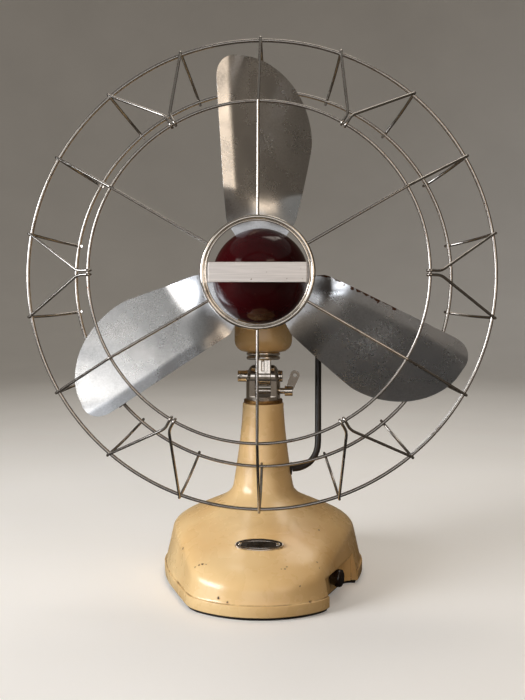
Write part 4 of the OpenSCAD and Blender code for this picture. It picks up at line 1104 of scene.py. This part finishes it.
def fastener_tree():
    """One head or rivet on each point of an object, standing along the point's way attribute."""
    tree, given = new_tree("Fasteners on places", {
        "Places": "Object", "Fastener": "Object", "Seed": "Int", "Finish": "Material",
    })
    spots = node(tree, "GeometryNodeObjectInfo", {"Object": given["Places"]}).outputs["Geometry"]
    shape = node(tree, "GeometryNodeObjectInfo", {"Object": given["Fastener"]}).outputs["Geometry"]
    way = node(
        tree, "GeometryNodeInputNamedAttribute", {"Name": "way"}, data_type="FLOAT_VECTOR"
    ).outputs[0]
    stand = node(tree, "FunctionNodeAlignRotationToVector", {"Vector": way}, axis="Z").outputs[0]
    inputs = {2: 0.0, 3: 2 * math.pi, "Seed": given["Seed"]}
    turn = node(tree, "FunctionNodeRandomValue", inputs, data_type="FLOAT").outputs[1]
    slot_turn = node(tree, "ShaderNodeCombineXYZ", {"Z": turn}).outputs[0]
    driven = node(
        tree, "FunctionNodeRotateRotation", {0: stand, 1: slot_turn}, rotation_space="LOCAL"
    ).outputs[0]
    return place_copies(tree, spots, shape, driven, given["Finish"])


def grown(name, tree, inputs):
    """Plain mesh object that a geometry tree makes from those inputs."""
    obj = new_object(name, bpy.data.meshes.new(name))
    maker = obj.modifiers.new("Make", "NODES")
    maker.node_group = tree
    for item in tree.interface.items_tree:
        if item.in_out == "INPUT" and item.name in inputs:
            maker[item.identifier] = inputs[item.name]
    return settle(obj)


def smooth_shaded(obj):
    """Gives a grown mesh smooth faces with sharp corners, normals outwards."""
    bm = bmesh.new()
    bm.from_mesh(obj.data)
    outward(bm)
    shade(bm, 35)
    bm.to_mesh(obj.data)
    bm.free()
    return obj


class FAN_OT_guard_rings(bpy.types.Operator):
    """Three round wire rings and the beaded ring in the middle"""

    bl_idname = "fan.guard_rings"
    bl_label = "Guard rings"

    def execute(self, context):
        guard = context.scene.fan_guard
        for name, r, y, wire, steps in (
            ("outer_ring", guard.outer_r, guard.outer_y, guard.ring_wire, 256),
            ("front_ring", guard.front_r, guard.front_y, guard.front_wire, 192),
            ("rear_ring", guard.rear_r, guard.rear_y, guard.ring_wire, 224),
        ):
            bm = turned(arc(mm(r), -mm(y), mm(wire), 0, 337.5, 15), steps, AXIS)
            seat(piece(name + "_wire", bm, finish_for("wire")), "head", "guard_wire", name)
        middle = mm(guard.hub_r) - BEAD_WIRE
        y = -mm(guard.hub_y)
        reach = (BEAD_STEP**2 + BEAD_WIRE**2 - THIN_WIRE**2) / (2 * BEAD_STEP)
        thick = math.degrees(math.acos(reach / BEAD_WIRE))
        thin = math.degrees(math.acos((BEAD_STEP - reach) / THIN_WIRE))
        profile = arc(middle, y, BEAD_WIRE, 180 - thick, thick - 180, 22)
        profile += arc(middle - BEAD_STEP, y, THIN_WIRE, -thin, thin - 360, 12)
        beaded = piece("beaded_ring", turned(profile, 192, AXIS), finish_for("nickel"))
        seat(beaded, "head", "guard_wire", "hub_ring")
        return {"FINISHED"}


class FAN_OT_guard_wires(bpy.types.Operator):
    """Spokes and pairs of struts, each wrapped round the rings that it ties"""

    bl_idname = "fan.guard_wires"
    bl_label = "Spokes and struts"

    def execute(self, context):
        guard = context.scene.fan_guard
        spoke, hook, back = guard_courses(guard)
        straight = [on_axis(q, 0, 0) for q in spoke]
        pair = []
        for side in (-1, 1):
            path = [on_axis(q, 0, side * STRUT_GAP / 2) for q in hook]
            path += [on_axis(q, side * STRUT_SPREAD, 0) for q in back]
            pair.append(rounded_corner(path, len(hook) - 1, STRUT_BEND_REACH))
        tree = wire_tree()
        for name, node_name, paths, first in (
            ("spokes", "guard_spokes", [straight], SPOKE_TURN),
            ("struts", "guard_struts", pair, 0.0),
        ):
            course = line_object(name + "_course", paths)
            wires = grown(name, tree, {
                "Course": course, "Wire radius": guard.spoke_wire, "Count": guard.spokes,
                "First angle": first, "Finish": finish_for("wire"),
            })
            bpy.data.objects.remove(course)
            wires.data.transform(AXIS @ Matrix.Scale(1 / MM, 4))
            seat(smooth_shaded(wires), "head", "guard_wire", node_name)
        return {"FINISHED"}


class FAN_OT_bar(bpy.types.Operator):
    """Bare brushed bar across the beaded ring"""

    bl_idname = "fan.bar"
    bl_label = "Bar"

    def execute(self, context):
        seat_softened(("badge_bar", "bar_strip", "head", "bar", "bar_aluminium", 0.3))
        return {"FINISHED"}


# Blades and cap

ROOT_R = 23
ROOT_SHARE = 0.5
ROOT_FLAT_R = 38
FULL_PITCH_R = 72
NECK_R = 44
ROOT_REACH = 27.5
STRAIGHT_REACH = 34.5
ROUND_REACH = 40.5
ROUND_AT = 109
ROUND_POWER = 1.15
TIP_MID = -14
TIP_CORNER = 20
TIP_POWER = 2.5
TIP_TRIM = 0.4
CREASE_SOFT = 3.0
BLADE_ROWS = 72
BLADE_COLUMNS = 34
NICKED_ROWS = 0.4 * BLADE_ROWS
NICKED_COLUMNS = 5
BLADE_RIM_ROUND = 0.4
BLADE_RIM_ANGLE = 60
CAP_SKIRT = 5
CAP_WALL = 1.45
CAP_CLEAR = 1.1


def blade_end(blades):
    return math.sqrt(mm(blades.sweep_r) ** 2 - TIP_MID**2)


def root_width(r):
    return lerp(ROOT_SHARE, 1, clamp01((r - ROOT_R) / (NECK_R - ROOT_R)))


def straight_edge(blades, r):
    corner = blade_end(blades) - TIP_CORNER
    if r < corner:
        share = clamp01((r - NECK_R) / (corner - NECK_R))
        return -root_width(r) * lerp(ROOT_REACH, STRAIGHT_REACH, share)
    turn = 1 - min(1, (r - corner) / TIP_CORNER) ** TIP_POWER
    return TIP_MID - (STRAIGHT_REACH + TIP_MID) * turn ** (1 / TIP_POWER)


def round_edge(blades, r):
    if r < ROUND_AT:
        share = clamp01((ROUND_AT - r) / (ROUND_AT - NECK_R)) ** ROUND_POWER
        return root_width(r) * lerp(ROUND_REACH, ROOT_REACH, share)
    turn = 1 - ((r - ROUND_AT) / (blade_end(blades) - ROUND_AT)) ** 2
    return TIP_MID + (ROUND_REACH - TIP_MID) * math.sqrt(max(0, turn))


def blade_point(blades, r, t):
    """Middle of the sheet at a radius and a distance across, in the head's axes."""
    rise = ease((r - ROOT_FLAT_R) / (FULL_PITCH_R - ROOT_FLAT_R))
    y = math.tan(blades.pitch) * rise * t
    # The strip along the straight edge is bent back over a soft crease
    crease = straight_edge(blades, min(r, blade_end(blades) - TIP_CORNER)) + mm(blades.edge_strip)
    past = max(0.0, crease - t)
    bent = past * past / (2 * CREASE_SOFT) if past < CREASE_SOFT else past - CREASE_SOFT / 2
    y += math.tan(blades.edge_bend) * bent * rise
    return Vector((t, y - mm(blades.root_y), r))


def blade_grid(blades):
    """Points of the sheet's middle, closer together towards its edges and its tip."""
    end = blade_end(blades) - TIP_TRIM
    last = BLADE_COLUMNS - 1
    shares = [lerp(0.5 - 0.5 * math.cos(math.pi * j / last), j / last, 0.5) for j in range(last + 1)]
    grid = []
    for i in range(BLADE_ROWS):
        r = lerp(ROOT_R, end, math.sin(math.pi / 2 * i / (BLADE_ROWS - 1)))
        low, high = straight_edge(blades, r), round_edge(blades, r)
        grid.append([blade_point(blades, r, lerp(low, high, share)) for share in shares])
    return grid


def build_blade(blades, name, turn, nicked):
    """One blade as a closed sheet with a rounded rim, its straight edge nicked or not."""
    grid = blade_grid(blades)
    place = HUB @ Matrix.Rotation(turn, 4, "Y")
    half = mm(blades.thickness) / 2
    bm = bmesh.new()
    worn = bm.verts.layers.float.new("worn")
    sides = {}
    for sign in (-1, 1):
        shift = Vector((0, sign * half, 0))
        side = [[bm.verts.new(place @ (p + shift)) for p in row] for row in grid]
        for i in range(BLADE_ROWS - 1):
            for j in range(BLADE_COLUMNS - 1):
                quad = [side[i][j], side[i][j + 1], side[i + 1][j + 1], side[i + 1][j]]
                bm.faces.new(quad if sign < 0 else quad[::-1])
        for i, row in enumerate(side):
            for j, vert in enumerate(row):
                eaten = nicked and i < NICKED_ROWS
                vert[worn] = max(0.0, 1 - j / NICKED_COLUMNS) if eaten else 0.0
        sides[sign] = side
    rim = [(0, j) for j in range(BLADE_COLUMNS - 1)]
    rim += [(i, BLADE_COLUMNS - 1) for i in range(BLADE_ROWS - 1)]
    rim += [(BLADE_ROWS - 1, j) for j in range(BLADE_COLUMNS - 1, 0, -1)]
    rim += [(i, 0) for i in range(BLADE_ROWS - 1, 0, -1)]
    for (i, j), (m, n) in zip(rim, rim[1:] + rim[:1]):
        bm.faces.new((sides[-1][i][j], sides[1][i][j], sides[1][m][n], sides[-1][m][n]))
    outward(bm)
    obj = piece(name, bm, finish_for("blade"), sharp=BLADE_RIM_ANGLE)
    round_edges(obj, BLADE_RIM_ROUND, BLADE_RIM_ANGLE)
    return settle(obj)


class FAN_OT_blades(bpy.types.Operator):
    """Three pressed blades of old aluminium sheet"""

    bl_idname = "fan.blades"
    bl_label = "Blades"

    def execute(self, context):
        blades = context.scene.fan_blades
        for i in range(3):
            obj = build_blade(blades, f"blade_sheet_{i + 1}", math.radians(120 * i), i == 1)
            seat(obj, "rotor", "blade_aluminium", f"blade_{i + 1}")
        return {"FINISHED"}


class FAN_OT_cap(bpy.types.Operator):
    """Round burgundy cap over the hub"""

    bl_idname = "fan.cap"
    bl_label = "Cap"

    def execute(self, context):
        blades = context.scene.fan_blades
        r, inner_r = mm(blades.cap_r), mm(blades.cap_r) - CAP_WALL
        rim = -mm(blades.root_y) - CAP_CLEAR
        rise = mm(blades.cap_l) - CAP_SKIRT
        dome = arc(0, 0, 1, 0, 90, 40)
        profile = [(inner_r, rim), (r - 0.5, rim), (r, rim - 0.5)]
        profile += [(r * c, rim - CAP_SKIRT - rise * s) for c, s in dome]
        profile += [(inner_r * c, rim - CAP_SKIRT - (rise - CAP_WALL) * s) for c, s in dome[::-1]]
        cap = piece("cap", turned(profile, 128, AXIS), finish_for("burgundy"))
        seat(cap, "rotor", "burgundy_enamel", "spinner")
        return {"FINISHED"}


# Screws and pins: radius and height of the head and width of its slot

SCREW_HEAD = (3.6, 1.8, 0.9)
PIN_HEAD = (1.65, 0.7, 0.0)
PIN_REACH = 15
PIN_RISE = 0.8
SLOT_SEED = 4
# Screws round the housing: place along the axis, distance out and angles
COVER_SCREWS = (27.5, HOUSING_R + 0.2, (30, 150, 250))
ARM_SCREWS = (-5, HOUSING_R + 2.55, (100, 220, 340))


def round_axis(y, out, angles):
    """Places round the fan's axis, each with the way out of it."""
    places = []
    for degrees in angles:
        a = math.radians(degrees)
        way = Vector((math.cos(a), -math.sin(a), 0))
        places.append((AXIS @ (way * out + Vector((0, 0, y))), AXIS.to_3x3() @ way))
    return places


def rounded_box(low, high, radius, steps=4):
    """Box along X with rounded long edges."""
    x0, y0, z0 = low
    x1, y1, z1 = high
    ring = arc(y1 - radius, z1 - radius, radius, 0, 90, steps)
    ring += arc(y0 + radius, z1 - radius, radius, 90, 180, steps)
    ring += arc(y0 + radius, z0 + radius, radius, 180, 270, steps)
    ring += arc(y1 - radius, z0 + radius, radius, 270, 360, steps)
    return closed([[ON_TABLE @ Vector((x, y, z)) for y, z in ring] for x in (x0, x1)])


def headed_pin(name, head, foot, shank):
    """Domed head on a shank, slotted for a driver where it is a screw's."""
    r, h, slot_w = head
    rounds = [math.pi / 2 * i / 6 for i in range(7)]
    profile = [(0, foot), (shank, foot), (shank, 0), (r, 0)]
    profile += [(r * math.cos(t), h * (0.35 + 0.65 * math.sin(t))) for t in rounds]
    shape = piece(name + "_shape", turned(profile, 32, ON_TABLE))
    if slot_w:
        low, high = (-2 * r, -slot_w / 2, h * 0.45), (2 * r, slot_w / 2, 2 * h)
        cut(shape, rounded_box(low, high, 0.1))
    return shape


def fastened(name, tree, places, shape, finish):
    """One mesh of a fastener on each of some places."""
    spots = bpy.data.meshes.new(name + "_spots")
    spots.from_pydata([tuple(p) for p, way in places], [], [])
    ways = spots.attributes.new("way", "FLOAT_VECTOR", "POINT")
    for item, (p, way) in zip(ways.data, places):
        item.vector = way.normalized()
    holder = new_object(name + "_spots", spots)
    inputs = {"Places": holder, "Fastener": shape, "Seed": SLOT_SEED, "Finish": finish}
    made = grown(name, tree, inputs)
    bpy.data.objects.remove(holder)
    bpy.data.objects.remove(shape)
    return smooth_shaded(made)


class FAN_OT_fasteners(bpy.types.Operator):
    """Screws of the cover and the guard arms, and the pins of the oval plate"""

    bl_idname = "fan.fasteners"
    bl_label = "Screws and pins"

    def execute(self, context):
        slope = front_slope(context.scene.fan_base)
        out = slope.to_3x3() @ Vector((0, 0, 1))
        pins = [(slope @ Vector((s * PIN_REACH, 0, PIN_RISE)), out) for s in (-1, 1)]
        cover, arms = round_axis(*COVER_SCREWS), round_axis(*ARM_SCREWS)
        tree = fastener_tree()
        for name, node_name, places, pin, body, finish, slot in (
            ("plate_pins", "nameplate_rivets", pins, (PIN_HEAD, -3, 1.1), "base", "nickel",
             "bright_nickel"),
            ("cover_heads", "cover_screws", cover, (SCREW_HEAD, -5, 2.0), "head", "nickel",
             "bright_nickel"),
            ("arm_heads", "guard_screws", arms, (SCREW_HEAD, -4.8, 2.0), "head", "steel",
             "plain_steel"),
        ):
            obj = fastened(name, tree, places, headed_pin(name, *pin), finish_for(finish))
            seat(obj, body, slot, node_name)
        return {"FINISHED"}


# Route of the motor lead, the same points as the CAD's, in millimetres
LEAD_POINTS = (
    (40.7, 22.9, 214.8), (43.2, 22.7, 212.4), (45.2, 22.4, 209), (46.3, 21.9, 204.5),
    (46.8, 21.2, 197.5), (47, 20, 188), (47, 18.5, 178), (47, 16.7, 167), (47, 14.7, 156),
    (47, 12.5, 145), (47, 10.2, 134), (47, 7.8, 123), (46.9, 5.3, 112), (46.1, 3.3, 106),
    (43.9, 1.7, 100.6), (40.4, 0.7, 96.1), (35.9, 0.2, 92.8), (30.7, 0, 90.7),
)
LEAD_JOINT = 7
LEAD_STEPS = 6
LEAD_R = 2.75
LEAD_SIDES = 20
LEAD_STANDS_OUT = 1.6


class FAN_OT_lead(bpy.types.Operator):
    """Motor lead, in two lengths that meet beside the tilt axis"""

    bl_idname = "fan.lead"
    bl_label = "Motor lead"

    def execute(self, context):
        face_x = column_r(context.scene.fan_base, LEAD_HOLE_Z) + LEAD_STANDS_OUT
        points = list(LEAD_POINTS) + [(face_x, 0, LEAD_HOLE_Z)]
        path = smooth_path([Vector(p) * MM for p in points], LEAD_STEPS)
        split = LEAD_JOINT * LEAD_STEPS
        for name, part, bodies, node_name in (
            ("lead_from_motor", path[: split + 1], ("head", "tilt_block"), "lead_upper"),
            ("lead_to_column", path[split:], ("tilt_block", "base"), "lead_lower"),
        ):
            obj = piece(name, tube(part, LEAD_R * MM, LEAD_SIDES), finish_for("rubber"))
            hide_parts(node_name)
            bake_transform(obj)
        return {"FINISHED"}


class FAN_OT_inside(bpy.types.Operator):
    """Finishes of the CAD pieces that stay as they are"""

    bl_idname = "fan.inside"
    bl_label = "Inner pieces"

    def execute(self, context):
        for finish, *nodes in (
            ("steel", "base_plate", "plate_screws", "swivel_stud", "swivel_nut", "fork_grub_screw",
             "motor_shaft", "blade_hub", "clamp_plate", "hub_nut"),
            ("blade", "blade_rivets"),
            ("bakelite", "switch_body"),
            ("porcelain", "terminal_block"),
            ("copper", "speed_coil", "field_coils"),
            ("iron", "stator_core", "rotor_core"),
            ("bronze", "front_bearing", "rear_bearing"),
        ):
            for name in nodes:
                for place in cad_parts[name].material_slots:
                    place.material = finish_for(finish)
        return {"FINISHED"}


# Stage: name of each light, its power's property, place, size, tint and spread in degrees
LIGHTS = (
    ("upper softbox", "key", (-1.14, -0.8, 0.95), (0.5, 0.5), "#FFF8F0", 180),
    ("left softbox", "left", (-1.35, -0.75, 0.55), (0.9, 0.7), "#F6F9FF", 80),
    ("front card", "front_card", (-0.1, -2.0, 0.5), (1.4, 0.7), "#FCFCFF", 180),
    ("fill softbox", "fill", (0.75, -1.4, 0.8), (0.5, 1.2), "#FFE6CA", 180),
    ("top softbox", "top", (0.1, 0.6, 1.5), (0.9, 0.6), "#FFF6EA", 180),
)
LIGHT_AIM = Vector((0, -0.03, 0.2))
WORLD_COLOUR = "#D9D5CE"
WORLD_STRENGTH = 0.38
SENSOR_WIDTH = 36
# The floor is flat as far as the cove, which curves up into a wall
COVE_FROM = 1.6
COVE_R = 1.4
WALL_TOP = 2.6
FLOOR_SIDES = 96


class FAN_OT_stage(bpy.types.Operator):
    """Pale floor that curves up all round, soft lights and the camera"""

    bl_idname = "fan.stage"
    bl_label = "Stage"

    def execute(self, context):
        scene = context.scene
        stage = scene.fan_stage
        scene.view_settings.view_transform = "Standard"
        camera = new_object("camera", bpy.data.cameras.new("camera"))
        camera.data.sensor_width = SENSOR_WIDTH
        camera.data.lens = stage.lens
        camera.location = (stage.side, -stage.back, stage.height)
        camera.rotation_euler = (math.pi / 2 - stage.pitch, 0, stage.yaw)
        scene.camera = camera
        rim = [(COVE_FROM + COVE_R, WALL_TOP)]
        rim += arc(COVE_FROM, COVE_R, COVE_R, 0, -90, 14) + [(0.6, 0), (0.02, 0)]
        bm = bmesh.new()
        verts = skin(bm, [[polar(r, a, z) for a in turns(FLOOR_SIDES)] for r, z in rim])
        bm.faces.new(verts[-1])
        piece("studio_floor", bm, self.floor_finish(stage))
        scene.world = bpy.data.worlds.get("studio") or bpy.data.worlds.new("studio")
        scene.world.use_nodes = True
        tree = scene.world.node_tree
        tree.nodes.clear()
        inputs = {"Color": hex_colour(WORLD_COLOUR), "Strength": WORLD_STRENGTH}
        sky = node(tree, "ShaderNodeBackground", inputs)
        node(tree, "ShaderNodeOutputWorld", {"Surface": sky.outputs[0]})
        for name, power, spot, size, tint, spread in LIGHTS:
            lamp = bpy.data.lights.new(name, "AREA")
            lamp.shape = "RECTANGLE"
            lamp.size, lamp.size_y = size
            lamp.energy = getattr(stage, power)
            lamp.spread = math.radians(spread)
            lamp.color = hex_colour(tint)[:3]
            obj = new_object(name, lamp)
            obj.location = spot
            obj.rotation_euler = (LIGHT_AIM - Vector(spot)).to_track_quat("-Z", "Y").to_euler()
        return {"FINISHED"}

    def floor_finish(self, stage):
        """Pale to the camera, with a painted glow that brightens it round the foot a little beyond
        what the lamps give. The metals mirror painted reflection shades instead, darker, as those of a
        room would be."""
        material, tree, shader, coords = surface("pale studio floor")
        faint = mottle(tree, coords, 240, 0.3, 0.7)
        shades = {0: faint, 6: stage.floor, 7: darker(stage.floor, 0.94)}
        tone = node(tree, "ShaderNodeMix", shades, data_type="RGBA").outputs[2]
        reach = node(tree, "ShaderNodeVectorMath", {0: coords}, operation="LENGTH").outputs["Value"]
        reflection_ramp = node(tree, "ShaderNodeMapRange", {"Value": reach, "From Min": 0.22, "From Max": 0.5})
        # Painted reflection: colour that only the metals see, dark near the foot and lighter farther
        # off
        painted_reflection = node(
            tree, "ShaderNodeMix", {0: reflection_ramp, 6: stage.near, 7: stage.far}, data_type="RGBA"
        ).outputs[2]
        seen = node(tree, "ShaderNodeLightPath").outputs["Is Camera Ray"]
        shown = node(
            tree, "ShaderNodeMix", {0: seen, 6: painted_reflection, 7: tone}, data_type="RGBA"
        ).outputs[2]
        # Painted glow: emission that only the camera sees, strongest round the foot and gone by 1.5 m
        lift = node(
            tree, "ShaderNodeMapRange",
            {"Value": reach, "From Min": 0.5, "From Max": 1.5, "To Min": 0.14, "To Max": 0.0},
        )
        painted_glow = node(tree, "ShaderNodeMath", {0: lift, 1: seen}, operation="MULTIPLY")
        feed(tree, shader, {
            "Base Color": shown,
            "Emission Color": tone,
            "Emission Strength": painted_glow,
            "Roughness": 0.75,
        })
        return material


class FAN_PT_panel(bpy.types.Panel):
    """Operators and sizes of the desk fan"""

    bl_idname = "FAN_PT_panel"
    bl_label = "Desk fan"
    bl_space_type = "VIEW_3D"
    bl_region_type = "UI"
    bl_category = "Desk fan"

    def draw(self, context):
        for operator in OPERATORS:
            self.layout.operator(operator.bl_idname)
        for label in GROUPS:
            group = getattr(context.scene, label)
            box = self.layout.box()
            for key in type(group).__annotations__:
                box.prop(group, key)


GROUPS = {
    "fan_base": FanBaseSizes,
    "fan_guard": FanGuardSizes,
    "fan_blades": FanBladeSizes,
    "fan_colours": FanColours,
    "fan_stage": FanStage,
}
OPERATORS = (
    FAN_OT_stage,
    FAN_OT_lead,
    FAN_OT_casting,
    FAN_OT_recess,
    FAN_OT_plate,
    FAN_OT_felt,
    FAN_OT_neck,
    FAN_OT_motor,
    FAN_OT_guard_rings,
    FAN_OT_guard_wires,
    FAN_OT_bar,
    FAN_OT_blades,
    FAN_OT_cap,
    FAN_OT_fasteners,
    FAN_OT_inside,
)


def register():
    for label, group in GROUPS.items():
        bpy.utils.register_class(group)
        setattr(bpy.types.Scene, label, bpy.props.PointerProperty(type=group))
    for operator in OPERATORS:
        bpy.utils.register_class(operator)
    bpy.utils.register_class(FAN_PT_panel)


def unregister():
    bpy.utils.unregister_class(FAN_PT_panel)
    for operator in reversed(OPERATORS):
        bpy.utils.unregister_class(operator)
    for label, group in GROUPS.items():
        delattr(bpy.types.Scene, label)
        bpy.utils.unregister_class(group)


def main():
    register()
    for operator in OPERATORS:
        family, name = operator.bl_idname.split(".")
        getattr(getattr(bpy.ops, family), name)()


if __name__ == "__main__":
    main()
